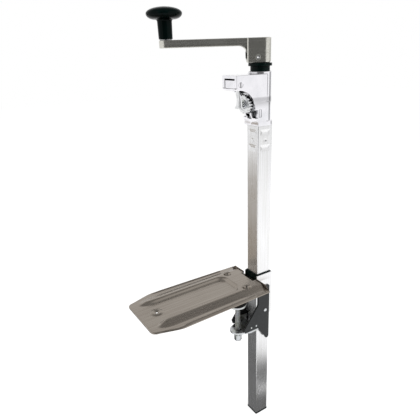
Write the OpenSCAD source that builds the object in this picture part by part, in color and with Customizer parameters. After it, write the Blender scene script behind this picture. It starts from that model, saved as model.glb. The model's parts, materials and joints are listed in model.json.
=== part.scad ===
// Bench-mounted manual can opener: a square post slides through a socket at the table edge.
// Its head holds a blade and a feed wheel, which a crank turns through a pinion and a face gear.
// Origin: on the table top, midway between the two back fixing holes. +Z is up along the post,
// and the table lies towards -X.

/* [Base plate] */
// Length of the plate, from its front end to the table edge
plate_l = 190; // [150:1:260]
// Widest part of the plate, behind the tapered front
plate_w = 106; // [96:1:140]
// Width of the back end
back_w = 100; // [96:1:140]
// Radius of the back corners
back_r = 3; // [1:0.5:8]
// Width of the front end
plate_front_w = 84; // [60:1:96]
// Length of the tapered front
taper_l = 42; // [20:1:60]
// Radius of the front corners
corner_r = 7; // [3:0.5:12]
// Thickness of the flat metal
sheet_t = 2.4; // [1.5:0.1:4]
// Height of the two ribs and of the back deck
rib_h = 7; // [5:0.5:12]
// Width of the flat panel between the ribs
panel_w = 42; // [30:1:60]
// Width of one rib
rib_w = 24; // [18:1:26]
// Width of a rib's sloping side
rib_slope = 6; // [3:0.5:8]
// Length of the raised deck at the back
deck_l = 38; // [34:1:60]
// Length over which a rib fades out at the front
fade_l = 24; // [10:1:40]
// Distance from the front end to the start of the ribs
tongue_l = 20; // [10:1:40]
// Distance between the two back fixing holes
back_hole_gap = 52; // [46:1:70]
// Distance from the back fixing holes to the front fixing hole
front_hole_run = 138; // [100:1:145]
// Diameter of the fixing holes
fixing_d = 5.5; // [4:0.1:7]
// Diameter of the pressed seat round a back fixing hole
seat_d = 12; // [10:0.5:16]
// Diameter of the pressed seat round the front fixing hole
front_seat_d = 19; // [12:0.5:24]

/* [Socket] */
// Distance from the back fixing holes to the post's axis
post_x = 43; // [40:1:60]
// Wall of the socket sleeve
sleeve_t = 1.5; // [1:0.1:3]
// Height of the sleeve above the table top
sleeve_top = 9.5; // [5:0.5:20]
// Depth of the sleeve below the table top
sleeve_drop = 66; // [50:1:100]
// Wall of the plastic liners
liner_t = 1.4; // [1:0.1:3]
// Length of the upper liner below the table top
liner_drop = 15; // [8:1:20]
// Length of the lower liner
lower_liner_l = 24; // [10:1:28]
// How far the upper liner stands above the sleeve
liner_lip = 1.2; // [0.5:0.1:4]
// Clearance on each side between the post and the liners
slide_gap = 0.2; // [0.1:0.05:0.5]
// Thickness of the leaf spring that rubs on the post
leaf_t = 0.6; // [0.3:0.1:0.9]
// Width of the leaf spring
leaf_w = 14; // [8:1:20]

// Thickness of the tab that turns down from the plate on to the sleeve
tab_t = 2; // [1.5:0.1:4]
// Depth of that tab below the table top
tab_drop = 26; // [15:1:40]

/* [Post] */
// Width of the square tube
post_w = 25; // [20:0.5:32]
// Wall of the square tube
post_t = 1.6; // [1.2:0.1:3]
// Corner radius of the square tube
post_r = 1.2; // [1:0.1:3]
// Height of the head's lower face above the table top
head_z = 239; // [120:1:300]
// Depth of the tube's lower end below the table top
post_drop = 278; // [150:1:400]
// How far the end cap's lip stands out from the tube, on each side
cap_lip = 0.6; // [0.4:0.1:2]
// Thickness of the end cap's lip
cap_t = 3; // [1:0.1:5]
// Depth of the pressed locking marks
mark_depth = 0.45; // [0.2:0.05:0.8]

/* [Head] */
// Width of the head across its sides
head_w = 32; // [31:0.5:40]
// Width of the lower half of the head
waist_w = 30; // [29:0.5:31]
// Height of the head without its round boss
head_h = 66; // [60:1:90]
// Reach of the nose in front of the post's axis
nose_reach = 50; // [44:1:60]
// Height of the nose at its front
nose_h = 18; // [15:0.5:24]
// Height of the round boss on top
boss_h = 3; // [1:0.5:8]
// Width and depth of the collar round the top of the tube
collar_w = 31; // [30:0.5:36]
// Radius of the collar's back corners
collar_r = 11; // [4:0.5:14]
// Height of the collar
collar_h = 6; // [3:0.5:10]
// Length of the spigot inside the tube
spigot_l = 41; // [40:1:80]
// Radius of the arched cut-out for the rim of the can
arch_r = 26.5; // [24:0.5:30]
// Width of the blade cartridge in the nose
cartridge_w = 22; // [16:0.5:24]
// Height of the blade cartridge
cartridge_h = 10; // [8:0.5:11]
// Height of the open slot above the cartridge
slot_h = 1.9; // [1:0.1:3]

/* [Cutting parts] */
// Thickness of the blade
blade_t = 2.4; // [1.5:0.1:3]
// Radius of the blade's curve, seen from above
blade_r = 40; // [30:1:80]
// Length of blade below the cartridge
blade_drop = 26; // [18:0.5:30]
// Diameter of the feed wheel over its teeth
wheel_d = 24; // [20:0.5:25]
// Thickness of the feed wheel
wheel_t = 7; // [5:0.5:8]
// Number of teeth on the feed wheel
wheel_teeth = 18; // [12:1:30]
// Depth of the feed wheel's teeth
wheel_tooth_h = 1.6; // [0.8:0.1:2.5]
// Height of the wheel's axis above the head's lower face
wheel_z = 29; // [28:0.5:32]
// Clear gap between the blade and the wheel
rim_gap = 6; // [4.5:0.5:8]

/* [Drive] */
// Diameter of the upright drive shaft
shaft_d = 14; // [8:0.5:15]
// Diameter of the wheel's shaft
axle_d = 8; // [6:0.5:9]
// Size of the gear teeth: pitch diameter over tooth count
gear_module = 1.5; // [1.2:0.05:1.6]
// Teeth on the upright pinion
pinion_teeth = 8; // [8:1:9]
// Teeth on the face gear
face_teeth = 12; // [11:1:13]
// Share of a gear's pitch that a tooth fills at the pitch line
tooth_share = 0.3; // [0.25:0.01:0.4]
// Running clearance of a shaft, on the radius
run_gap = 0.05; // [0.03:0.01:0.1]
// Diameter of the plastic head bush's body
bush_d = 26; // [22:0.5:30]
// Height of the head bush's body
bush_h = 6.6; // [4:0.1:10]
// Diameter of the head bush's flange
bush_flange_d = 31.4; // [28:0.2:36]
// Thickness of the head bush's flange
bush_flange_t = 3.6; // [2:0.1:6]

/* [Crank] */
// Distance from the shaft's axis to the knob's axis
crank_l = 122; // [80:1:180]
// Direction of the crank at rest, in degrees round the post
crank_angle = 146; // [0:1:359]
// Height of the hub
hub_h = 30; // [24:0.5:40]
// Length of the hub along the arm
hub_l = 32; // [28:0.5:40]
// Radius of the hub's corners at its back
hub_back_r = 10; // [3:0.5:10]
// Radius of the hub's corners at the arm's side
hub_front_r = 3; // [1:0.5:6]
// Width of the hub across the arm
hub_w = 22; // [20:0.5:30]
// Height of the arm
arm_h = 9.4; // [6:0.2:14]
// Width of the arm
arm_w = 18; // [12:0.5:20]
// Radius under the arm, where it meets the hub
fillet_r = 10; // [4:0.5:14]
// Diameter of the cross pin in the hub
cross_pin_d = 5; // [3:0.5:6]

/* [Knob] */
// Diameter of the knob's stem at its foot
stem_d = 19; // [16:0.5:24]
// Height of the knob's stem
stem_h = 23; // [16:0.5:40]
// Diameter of the knob's cap
knob_d = 46; // [32:0.5:60]
// Height of the knob's cap
knob_h = 14.6; // [10:0.2:24]
// Diameter of the spindle that the knob turns on
spindle_d = 8; // [6:0.5:10]

/* [Clamp] */
// Thickness of the table that the clamp is closed on
table_t = 36; // [25:1:50]
// Thickness of the bracket's two cheeks
cheek_t = 3; // [2:0.5:5]
// Depth of the cheeks' lower edge under the table top
cheek_drop = 86; // [80:1:110]
// Length of the cheeks' legs below that edge
leg_l = 27; // [10:1:40]
// Thickness of the clamp arm
clamp_arm_t = 3.5; // [2.5:0.5:6]
// Distance from the post's axis to the clamp screw
screw_run = 42; // [34:0.5:60]
// Diameter of the clamp screw
screw_d = 8; // [6:0.5:10]
// Width across the flats of the clamp screw's head
screw_af = 11; // [10:0.5:15]
// Height of the clamp screw's head
screw_head_h = 11; // [6:0.5:16]
// Diameter of the clamp pad
pad_d = 28; // [20:1:29]
// Thickness of the clamp pad's steel cup
pad_t = 3.4; // [2.5:0.1:6]
// Thickness of the rubber face on the clamp pad
pad_rubber_t = 1.5; // [1:0.1:4]

/* [Hidden] */

$fn = 64;
eps = 0.01;
fit = 0.05;                                  // clearance on each side of a seated piece
body_gap = 0.3;                              // clearance between faces that move past each other

// Sleeve, liners and plate end
liner_in = post_w / 2 + slide_gap;
liner_out = liner_in + liner_t;
sleeve_out = liner_out + sleeve_t;
socket_face_x = post_x - sleeve_out;         // the plate's tab lies on the sleeve's front wall
plate_end_x = socket_face_x - tab_t;
plate_front_x = plate_end_x - plate_l;
notch_l = 6;
lower_liner_z = -sleeve_drop;
leaf_l = sleeve_drop - lower_liner_l - liner_drop - 4;
leaf_z = -liner_drop - 2 - leaf_l / 2;
leaf_rivet_run = leaf_l / 2 - 3;             // from the leaf's middle to each of its rivets
hollow_margin = 6;                           // the ribs' hollows start this far behind the fade
front_seat_depth = 0.8;
rivet_r = 1.6;
rivet_head_r = 3;
rivet_head_h = 1.2;

// Locking marks: two pressed loops with a dimple between them
mark_w = 18;
mark_h = 9.5;
mark_line = 2.5;
mark_z = head_z - 20.5;                      // height of the dimple
mark_step = 10.5;                            // from the dimple to each loop
dimple_r = 2.4;

// Head: its places along the post's axis
head_top = head_z + head_h;
boss_top = head_top + boss_h;
axle_z = head_z + wheel_z;
arch_z = axle_z - 7.5;                       // height of the arch's centre
arch_x = post_x - nose_reach + 4;            // the nose's front edge lies ahead of the centre
nose_x = post_x - nose_reach;
jaw_reach = 24.5;
collar_x = post_x - collar_w / 2 + 0.7;       // the collar's front face
lip_r = 3;
spigot_w = post_w - 2 * post_t - 2 * fit;
cavity_top = head_top - 4;
cavity_floor = cavity_top - slot_h - cartridge_h;
side_screw_r = 3.2;
side_screw_neck_r = 2.3;
side_screw_x = nose_x + 6.6;
side_screw_z = cavity_floor + 4.5;
blade_screw_ys = [-6, 1.5];
blade_screw_r = 1.5;
blade_screw_z = cavity_floor + 5;
jaw_x = post_x - jaw_reach;
jaw_w = 14;                                  // width of the jaw between its side notches
jaw_slot_w = 8;
jaw_slot_l = 10;
jaw_slot_h = 9.5;
jaw_slot_z = axle_z - 19.5;
jaw_foot_z = axle_z - 18;
leg_notch_w = 3;                             // shallow upright groove in each side behind the jaw
leg_notch_h = 10;
spigot_t = 3;                                // wall of the hollow spigot
bush_screw_r = 2;
bush_screw_z = boss_top - 7;

// Wheel, carrier and chamber along the wheel's axis
wheel_front = post_x - 28;
wheel_back = wheel_front + wheel_t;
carrier_front = wheel_back + body_gap;
carrier_t = 7;
chamber_r = wheel_d / 2 + 0.9;
axle_r = axle_d / 2;
journal_r = axle_r - 1;
axle_bush_t = 1.5;
carrier_screw_r = 2;
carrier_screw_z = axle_z + axle_r + 4;
wheel_bore_x = wheel_front + 3.4;            // floor of the wheel's counterbore
wheel_washer_t = 1;
wheel_washer_r = 5.6;
wheel_screw_r = 2.5;
wheel_screw_head_h = 2.2;
blade_back = wheel_front - rim_gap;
blade_front = blade_back - blade_t;

// Gears: a spur pinion on the upright shaft, a face gear on the wheel's shaft
pinion_r = gear_module * pinion_teeth / 2;
face_r = gear_module * face_teeth / 2;
pinion_tip_r = pinion_r + gear_module * 0.7;
pinion_root_r = pinion_r - gear_module;
face_tip_x = post_x - pinion_r + gear_module * 0.55;
face_root_x = post_x - pinion_tip_r - 0.35;
face_disc_t = 3.2;
gear_pin_r = 0.9;
pinion_pin_r = 0.8;
face_in_r = face_r - 1.6;
face_out_r = face_r + 2.4;
pinion_z = axle_z + face_in_r - 0.2;
pinion_h = face_out_r - face_in_r + 0.6;
pinion_well_r = pinion_tip_r + 0.8;
shaft_foot_r = 3;
shaft_r = shaft_d / 2;

// Bush, crank and knob heights
bush_spigot_r = shaft_r + 2.6;
bush_spigot_l = 14;
thrust_t = 1.2;
thrust_z = boss_top - bush_spigot_l - body_gap - thrust_t;
shaft_low_r = shaft_r - 2;
bush_top = boss_top + bush_h + bush_flange_t;
hub_z = bush_top + body_gap;
hub_foot_r = 3;                              // round on the hub's lower corners
hub_top = hub_z + hub_h;
arm_z = hub_top - arm_h;
hub_front = 18;                              // the hub's end at the arm's side, from the shaft's axis
cross_pin_z = hub_z + 6.4;
cross_pin_off = 3.4;                         // the pin passes beside the shaft's axis
knob_washer_t = 0.8;
stem_z = hub_top + knob_washer_t + body_gap;
cap_z = stem_z + stem_h;
knob_top = cap_z + knob_h;
spindle_top = cap_z + 3.6;
spindle_head_r = spindle_d / 2 + 3;
spindle_head_h = 3;
knob_well_r = spindle_head_r + 1;

// Clamp
screw_x = post_x - screw_run;
screw_r = screw_d / 2;
pad_top = -table_t;
pad_cup_z = pad_top - pad_rubber_t - pad_t;
neck_r = screw_r - 1.2;
neck_l = 2;
arm_under = -cheek_drop - clamp_arm_t;
nut_h = 5.5;
nut_af = 13;
screw_head_z = arm_under - nut_h - 1 - screw_head_h;
cheek_in = sleeve_out;
cheek_out = cheek_in + cheek_t;
cheek_reach = 42;                            // reach of the cheeks under the table
arm_back = 14;                               // the clamp arm's back edge, from the post's axis
clamp_end_r = 13;
cheek_front = cheek_in - 2.1;                // the cheeks' front edge beside the sleeve
tab_in_t = 3;                                // thickness of the clamp arm's folded tabs
sleeve_rivets = [-22, -56];                  // heights of the rivets in the sleeve
arm_rivets = [-28, -18];                     // places of the clamp arm's screws, from the post's axis
arm_rivet_z = arm_under + clamp_arm_t + 6;

// ---- shared shapes ----

// Points of an arc, from angle a to angle b
function arc(cx, cy, r, a, b, steps = 10) =
    [for (i = [0 : steps]) let (t = a + (b - a) * i / steps) [cx + r * cos(t), cy + r * sin(t)]];

// Rectangle with round corners, centred
module round_rect(w, d, r) {
    square([w - 2 * r, d], center = true);
    square([w, d - 2 * r], center = true);
    for (sx = [-1, 1], sy = [-1, 1])
        translate([sx * (w / 2 - r), sy * (d / 2 - r)]) circle(r);
}

// Cylinder along +X
module rod_x(r, l) { rotate([0, 90, 0]) cylinder(r = r, h = l); }

// Cylinder along +Y
module rod_y(r, l) { rotate([-90, 0, 0]) cylinder(r = r, h = l); }

// Profile in X and Z, made w wide across Y
module slab_y(w) { translate([0, w / 2, 0]) rotate([90, 0, 0]) linear_extrude(w) children(); }

// Profile in Y and Z, made l long from x = 0 towards +X
module bar_x(l) { rotate([90, 0, 90]) linear_extrude(l) children(); }

// Hexagonal bar, w across its flats
module hex_bar(w, h) { cylinder(r = w / sqrt(3), h = h, $fn = 6); }

module at_post() { translate([post_x, 0, 0]) children(); }
module at_crank() { at_post() rotate([0, 0, crank_angle]) children(); }
module at_axle(x) { translate([x, 0, axle_z]) children(); }

// ---- base ----

// Outline of the plate, seen from above
module plate_outline() {
    front = plate_front_w / 2;
    polygon(concat(
        arc(plate_front_x + corner_r, -front + corner_r, corner_r, 180, 262),
        [[plate_front_x + taper_l, -plate_w / 2]],
        arc(plate_end_x - back_r, -back_w / 2 + back_r, back_r, 273, 360, 5),
        arc(plate_end_x - back_r, back_w / 2 - back_r, back_r, 0, 87, 5),
        [[plate_front_x + taper_l, plate_w / 2]],
        arc(plate_front_x + corner_r, front - corner_r, corner_r, 98, 180)));
}

// Cross-section of a rib: sloping sides, and hollow underneath when it is a void
module rib_section(side) {
    inner = panel_w / 2;
    outer = inner + rib_w;
    scale([side, 1])
        polygon([[inner, 0], [inner, sheet_t], [inner + rib_slope, rib_h], [outer - rib_slope, rib_h],
                 [outer, sheet_t], [outer, 0]]);
}

module rib_hollow(side) {
    inner = panel_w / 2 + rib_slope;
    outer = panel_w / 2 + rib_w - rib_slope;
    translate([plate_front_x + tongue_l + fade_l + hollow_margin, 0, 0])
        bar_x(plate_l - tongue_l - fade_l - deck_l - hollow_margin)
            scale([side, 1])
                polygon([[inner - 2, -1], [inner - 2, 0], [inner + 1, rib_h - sheet_t],
                         [outer - 1, rib_h - sheet_t], [outer + 2, 0], [outer + 2, -1]]);
}

module base_plate() color([0.62, 0.61, 0.59]) {
    rib_l = plate_l - tongue_l;
    fade = atan((rib_h - sheet_t) / fade_l);
    difference() {
        union() {
            linear_extrude(sheet_t) plate_outline();
            difference() {
                for (side = [-1, 1])
                    translate([plate_front_x + tongue_l, 0, 0]) bar_x(rib_l) rib_section(side);
                translate([plate_front_x + tongue_l, -plate_w, sheet_t]) rotate([0, -fade, 0])
                    cube([2 * fade_l, 2 * plate_w, 2 * rib_h]);
            }
            translate([plate_end_x - deck_l, 0, 0]) slab_y(panel_w + rib_w)
                polygon([[0, 0], [rib_slope, rib_h], [deck_l, rib_h], [deck_l, 0]]);
            translate([plate_end_x - eps, -sleeve_out + fit, -tab_drop])
                cube([tab_t + eps, 2 * (sleeve_out - fit), tab_drop + tab_t]);
        }
        // The deck slopes down to the tab, and leaves the liner in view
        translate([plate_end_x - notch_l, 0, 0]) slab_y(2 * sleeve_out)
            polygon([[0, rib_h + 1], [0, rib_h], [notch_l, tab_t], [notch_l + 1, tab_t],
                     [notch_l + 1, rib_h + 1]]);
        for (side = [-1, 1]) {
            rib_hollow(side);
            translate([0, side * back_hole_gap / 2, 0]) {
                translate([0, 0, -1]) cylinder(d = fixing_d, h = rib_h + 2);
                translate([0, 0, sheet_t])
                    cylinder(d1 = seat_d - 4, d2 = seat_d, h = rib_h - sheet_t + eps);
            }
        }
        translate([-front_hole_run, 0, -1]) cylinder(d = fixing_d, h = sheet_t + 2);
        translate([-front_hole_run, 0, sheet_t - front_seat_depth])
            cylinder(d1 = fixing_d, d2 = front_seat_d - 4, h = front_seat_depth + eps);
    }
}

module socket_sleeve() color([0.86, 0.86, 0.86]) at_post() difference() {
    translate([0, 0, -sleeve_drop]) linear_extrude(sleeve_drop + sleeve_top) difference() {
        round_rect(2 * sleeve_out, 2 * sleeve_out, sleeve_t);
        square(2 * liner_out, center = true);
    }
    // The front is open above the plate's tab, where the liner shows
    translate([-sleeve_out - 1, -liner_out, 0]) cube([sleeve_t + 2, 2 * liner_out, sleeve_top + 1]);
    for (z = sleeve_rivets) translate([0, -sleeve_out - 1, z]) rod_y(rivet_r, 2 * sleeve_out + 2);
    for (end = [-1, 1])
        translate([liner_out - 1, 0, leaf_z + end * leaf_rivet_run]) rod_x(rivet_r, sleeve_t + 2);
}

module liner_tube(l) {
    linear_extrude(l) difference() {
        square(2 * liner_out - 2 * fit, center = true);
        square(2 * liner_in, center = true);
    }
}

module upper_liner() color([0.05, 0.05, 0.06]) at_post() {
    translate([0, 0, -liner_drop]) liner_tube(liner_drop + sleeve_top + liner_lip);
}

module lower_liner() color([0.05, 0.05, 0.06]) at_post() {
    translate([0, 0, lower_liner_z]) liner_tube(lower_liner_l);
}

// Leaf spring between the sleeve's outer wall and the post
module friction_spring() color([0.55, 0.57, 0.6]) at_post() difference() {
    translate([liner_out - leaf_t, -leaf_w / 2, leaf_z - leaf_l / 2]) cube([leaf_t, leaf_w, leaf_l]);
    for (end = [-1, 1])
        translate([liner_out - 1, 0, leaf_z + end * leaf_rivet_run]) rod_x(rivet_r, 2);
}

module spring_rivets() color([0.7, 0.7, 0.7]) at_post() {
    for (end = [-1, 1]) translate([0, 0, leaf_z + end * leaf_rivet_run]) {
        translate([liner_out - leaf_t, 0, 0]) rod_x(rivet_r - fit, leaf_t + sleeve_t);
        translate([sleeve_out, 0, 0]) rod_x(rivet_head_r, rivet_head_h);
    }
}

// ---- clamp under the table ----

module cheek(side) {
    leg_back = 8.5;
    leg_w = 7.5;
    leg_r = leg_w / 2;
    foot = -cheek_drop - leg_l + leg_r;
    y = side > 0 ? cheek_in + cheek_t / 2 : -cheek_in - cheek_t / 2;
    at_post() translate([0, y, 0]) difference() {
        slab_y(cheek_t) polygon(concat(
            [[leg_back, -12]],
            [[-cheek_front, -12], [-cheek_front, -table_t - 6], [-cheek_reach, -cheek_drop + 7],
             [-cheek_reach + 2, -cheek_drop], [-arm_back, -cheek_drop], [leg_back - leg_w, foot]],
            arc(leg_back - leg_r, foot, leg_r, 180, 360)));
        for (z = sleeve_rivets) translate([0, -cheek_t, z]) rod_y(rivet_r, 2 * cheek_t);
        for (x = arm_rivets) translate([x, -cheek_t, arm_rivet_z]) rod_y(rivet_r, 2 * cheek_t);
    }
}

module near_cheek() color([0.12, 0.12, 0.13]) cheek(-1);
module far_cheek() color([0.12, 0.12, 0.13]) cheek(1);

module cheek_rivets() color([0.7, 0.7, 0.7]) at_post() {
    for (side = [-1, 1], z = sleeve_rivets) translate([0, 0, z]) scale([1, side, 1]) {
        translate([0, liner_out, 0]) rod_y(rivet_r - fit, cheek_out - liner_out);
        translate([0, cheek_out, 0]) rod_y(rivet_head_r, rivet_head_h);
    }
}

// Plate across the cheeks that narrows to a round end, with tabs folded up inside the cheeks
module clamp_arm() color([0.8, 0.8, 0.82]) at_post() {
    tab_h = 12;
    tab_l = 17;
    difference() {
        union() {
            translate([0, 0, arm_under]) linear_extrude(clamp_arm_t) {
                polygon([[-arm_back, -cheek_out], [-arm_back, cheek_out], [-30, cheek_out],
                         [-screw_run - 4, clamp_end_r * 0.95], [-screw_run - 4, -clamp_end_r * 0.95],
                         [-30, -cheek_out]]);
                translate([-screw_run, 0]) circle(clamp_end_r);
            }
            for (side = [-1, 1])
                translate([-arm_back - tab_l, side > 0 ? cheek_in - tab_in_t : -cheek_in, arm_under])
                    cube([tab_l, tab_in_t, tab_h + clamp_arm_t]);
        }
        translate([-screw_run, 0, arm_under - 1]) cylinder(r = screw_r + 0.4, h = clamp_arm_t + 2);
        for (x = arm_rivets) translate([x, -cheek_in - 1, arm_rivet_z]) rod_y(rivet_r, 2 * cheek_in + 2);
    }
}

module arm_screws() color([0.12, 0.12, 0.13]) at_post() {
    for (side = [-1, 1], x = arm_rivets)
        translate([x, 0, arm_rivet_z]) scale([1, side, 1])
            translate([0, cheek_in - tab_in_t, 0]) rod_y(rivet_r - fit, tab_in_t + cheek_t);
}

module clamp_nut() color([0.6, 0.6, 0.62]) difference() {
    translate([screw_x, 0, arm_under - nut_h]) hex_bar(nut_af, nut_h);
    translate([screw_x, 0, arm_under - nut_h - 1]) cylinder(r = screw_r + run_gap, h = nut_h + 2);
}

module clamp_screw() color([0.75, 0.75, 0.77]) translate([screw_x, 0, 0]) {
    translate([0, 0, screw_head_z]) hex_bar(screw_af, screw_head_h);
    translate([0, 0, screw_head_z]) cylinder(r = screw_r, h = pad_cup_z - body_gap - screw_head_z);
    translate([0, 0, pad_cup_z - 1]) cylinder(r = neck_r, h = neck_l + 1);
}

module clamp_pad() color([0.7, 0.7, 0.72]) translate([screw_x, 0, pad_cup_z]) difference() {
    cylinder(d = pad_d, h = pad_t);
    translate([0, 0, -1]) cylinder(r = neck_r + run_gap, h = neck_l + 1 + body_gap);
}

module pad_rubber() color([0.06, 0.06, 0.06]) translate([screw_x, 0, pad_cup_z + pad_t])
    cylinder(d = pad_d - 1, h = pad_rubber_t);

// ---- post ----

// One face's pressed locking marks: a loop, a dimple and a second loop
module locking_marks() {
    for (side = [-1, 1]) translate([0, 0, mark_z + side * mark_step]) difference() {
        cube([mark_w, 2 * mark_depth, mark_h], center = true);
        cube([mark_w - 2 * mark_line, 3 * mark_depth, mark_h - 2 * mark_line], center = true);
    }
    translate([0, -mark_depth, mark_z]) rod_y(dimple_r, 2 * mark_depth);
}

module post_tube() color([0.8, 0.8, 0.79]) at_post() difference() {
    translate([0, 0, -post_drop]) linear_extrude(head_z + post_drop) difference() {
        round_rect(post_w, post_w, post_r);
        square(post_w - 2 * post_t, center = true);
    }
    for (turn = [0 : 90 : 270]) rotate([0, 0, turn]) translate([0, -post_w / 2, 0]) locking_marks();
}

module post_end_cap() color([0.05, 0.05, 0.05]) at_post() {
    plug_w = post_w - 2 * post_t - 2 * fit;
    translate([0, 0, -post_drop - cap_t]) linear_extrude(cap_t)
        round_rect(post_w + 2 * cap_lip, post_w + 2 * cap_lip, post_r + cap_lip);
    translate([0, 0, -post_drop]) linear_extrude(14) difference() {
        square(plug_w, center = true);
        square(plug_w - 4, center = true);
    }
}

// ---- head ----

// Side profile of the head: nose, arch and jaw
module head_profile() {
    difference() {
        polygon(concat(
            [[nose_x, head_top], [post_x, head_top], [post_x, head_z], [collar_x, head_z],
             [collar_x, head_z + collar_h - 1], [post_x - jaw_reach, arch_z],
             [nose_x + lip_r, arch_z]],
            arc(nose_x + lip_r, head_top - nose_h + lip_r, lip_r, 270, 180)));
        intersection() {
            translate([arch_x, arch_z]) circle(arch_r, $fn = 128);
            translate([arch_x - 2 * arch_r, arch_z]) square([4 * arch_r, 2 * arch_r]);
        }
    }
}

// Front view of the head: wide at the top, a waist below the wheel's axis
module head_front() {
    half = [[head_w, head_top], [head_w, axle_z + 8], [waist_w, axle_z + 2],
            [waist_w, head_z + collar_h + 1.5], [collar_w, head_z + collar_h], [collar_w, head_z]];
    polygon(concat([for (p = half) [p[0] / 2, p[1]]],
                   [for (i = [len(half) - 1 : -1 : 0]) [-half[i][0] / 2, half[i][1]]]));
}

module head_solid() {
    intersection() {
        slab_y(2 * head_w) head_profile();
        translate([nose_x - 1, 0, 0]) bar_x(nose_reach + 1) head_front();
    }
    at_post() {
        translate([0, 0, head_z]) cylinder(d = waist_w, h = head_h);
        translate([0, 0, axle_z + 2]) cylinder(d = collar_w, h = boss_top - axle_z - 2);
        translate([0, 0, head_z]) linear_extrude(collar_h) intersection() {
            round_rect(collar_w, collar_w, collar_r);
            translate([0, -collar_w]) square(2 * collar_w);
        }
        translate([-spigot_w / 2, -spigot_w / 2, head_z - spigot_l])
            cube([spigot_w, spigot_w, spigot_l + 1]);
    }
}

module head_casting() color([0.88, 0.88, 0.9]) difference() {
    head_solid();
    // Wheel pocket, and the gear chamber behind it
    at_axle(wheel_front - 4) rod_x(chamber_r, post_x + 4 - wheel_front + 4);
    at_axle(post_x) rod_x(journal_r + axle_bush_t, 12);
    // Well for the upright shaft and its pinion, and the seat of the washer and the bush
    at_post() {
        translate([0, 0, axle_z]) cylinder(r = pinion_well_r, h = head_top - axle_z);
        translate([0, 0, thrust_z - body_gap])
            cylinder(r = bush_spigot_r + fit, h = boss_top - thrust_z + 1);
    }
    // Cartridge seat in the nose, open slot above it, and the way out for the blade
    translate([nose_x - 1, -cartridge_w / 2, cavity_floor])
        cube([blade_back - nose_x + 4, cartridge_w, cavity_top - cavity_floor]);
    translate([blade_front - 5, -cartridge_w / 2, arch_z])
        cube([blade_t + 8, cartridge_w, cavity_top - arch_z]);
    // Slot and side notches under the wheel
    translate([jaw_x - 1, -jaw_slot_w / 2, jaw_slot_z])
        cube([jaw_slot_l + 1, jaw_slot_w, jaw_slot_h]);
    for (side = [-1, 1]) {
        translate([jaw_x - 1, side > 0 ? jaw_w / 2 : -jaw_w / 2 - head_w, jaw_foot_z])
            cube([jaw_reach + 1 - 15, head_w, arch_z - jaw_foot_z]);
        translate([post_x - 12, side * waist_w / 2 - 0.5, jaw_foot_z + 1])
            cube([leg_notch_w, 1, leg_notch_h]);
    }
    // Screw holes
    translate([side_screw_x, -head_w, side_screw_z]) rod_y(side_screw_r, head_w);
    translate([carrier_front + carrier_t / 2, 0, axle_z]) cylinder(r = carrier_screw_r, h = head_h);
    at_post() translate([0, 0, bush_screw_z]) rod_x(bush_screw_r, collar_w);
    // The spigot is hollow
    at_post() translate([0, 0, head_z - spigot_l - 1]) linear_extrude(spigot_l + 6)
        square(spigot_w - 2 * spigot_t, center = true);
}

// ---- blade ----

module blade_cartridge() color([0.8, 0.8, 0.83]) difference() {
    translate([nose_x + 0.8, -cartridge_w / 2 + fit, cavity_floor])
        cube([blade_front - nose_x - 0.8, cartridge_w - 2 * fit, cartridge_h]);
    translate([side_screw_x, -cartridge_w, side_screw_z]) rod_y(side_screw_neck_r, cartridge_w);
    for (y = blade_screw_ys) translate([blade_front - 6, y, blade_screw_z]) rod_x(blade_screw_r, 7);
    // The blade bows into the cartridge's back face
    blade_shell(blade_r - blade_t - fit);
}

// Curved shell that the blade is cut from
module blade_shell(inner_r) translate([blade_front - blade_r + blade_t, 0, 0]) difference() {
    cylinder(r = blade_r, h = head_top, $fn = 128);
    translate([0, 0, -1]) cylinder(r = inner_r, h = head_top + 2, $fn = 128);
}

// Shank, then a cutting foot that ends in a forward point
module blade() color([0.75, 0.76, 0.78]) {
    tip_z = cavity_floor - blade_drop;
    shank_top = cavity_floor + cartridge_h - 0.5;
    difference() {
        intersection() {
            blade_shell(blade_r - blade_t);
            translate([blade_front - blade_t - 4, 0, 0]) bar_x(blade_t + 12)
                polygon([[-9.5, shank_top], [5, shank_top], [5, tip_z + 18], [3.4, tip_z + 13],
                         [3.2, tip_z + 9], [4.5, tip_z + 4], [7.5, tip_z], [2, tip_z - 0.6],
                         [-6.8, tip_z + 1], [-6.4, tip_z + 8], [-4.6, tip_z + 15], [-2.6, tip_z + 22],
                         [-3, cavity_floor - 0.5], [-9.5, cavity_floor]]);
        }
        for (y = blade_screw_ys) translate([blade_front - 6, y, blade_screw_z]) rod_x(blade_screw_r, 12);
    }
}

module blade_screws() color([0.35, 0.35, 0.37]) {
    for (y = blade_screw_ys) translate([0, y, blade_screw_z]) {
        translate([blade_front - 5, 0, 0]) rod_x(blade_screw_r - fit, 5 + blade_t);
        translate([blade_back, 0, 0]) rod_x(2.8, 1.8);
    }
}

module cartridge_screw() color([0.82, 0.82, 0.84])
translate([side_screw_x, 0, side_screw_z]) difference() {
    union() {
        translate([0, -head_w / 2 + 0.2, 0]) rod_y(side_screw_r - fit, 3);
        translate([0, -head_w / 2 + 3, 0]) rod_y(side_screw_neck_r - fit, 4.8);
    }
    translate([-0.6, -head_w / 2 - 1, -4]) cube([1.2, 2.2, 8]);
}

// ---- wheel group ----

module wheel_carrier() color([0.5, 0.5, 0.52]) difference() {
    at_axle(carrier_front) rod_x(chamber_r - fit, carrier_t);
    at_axle(carrier_front - 1) rod_x(axle_r + axle_bush_t, carrier_t + 2);
    translate([carrier_front + carrier_t / 2, 0, carrier_screw_z])
        cylinder(r = carrier_screw_r, h = chamber_r);
}

module carrier_screw() color([0.25, 0.25, 0.26])
    translate([carrier_front + carrier_t / 2, 0, carrier_screw_z + body_gap])
        cylinder(r = carrier_screw_r - fit, h = 9);

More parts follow.
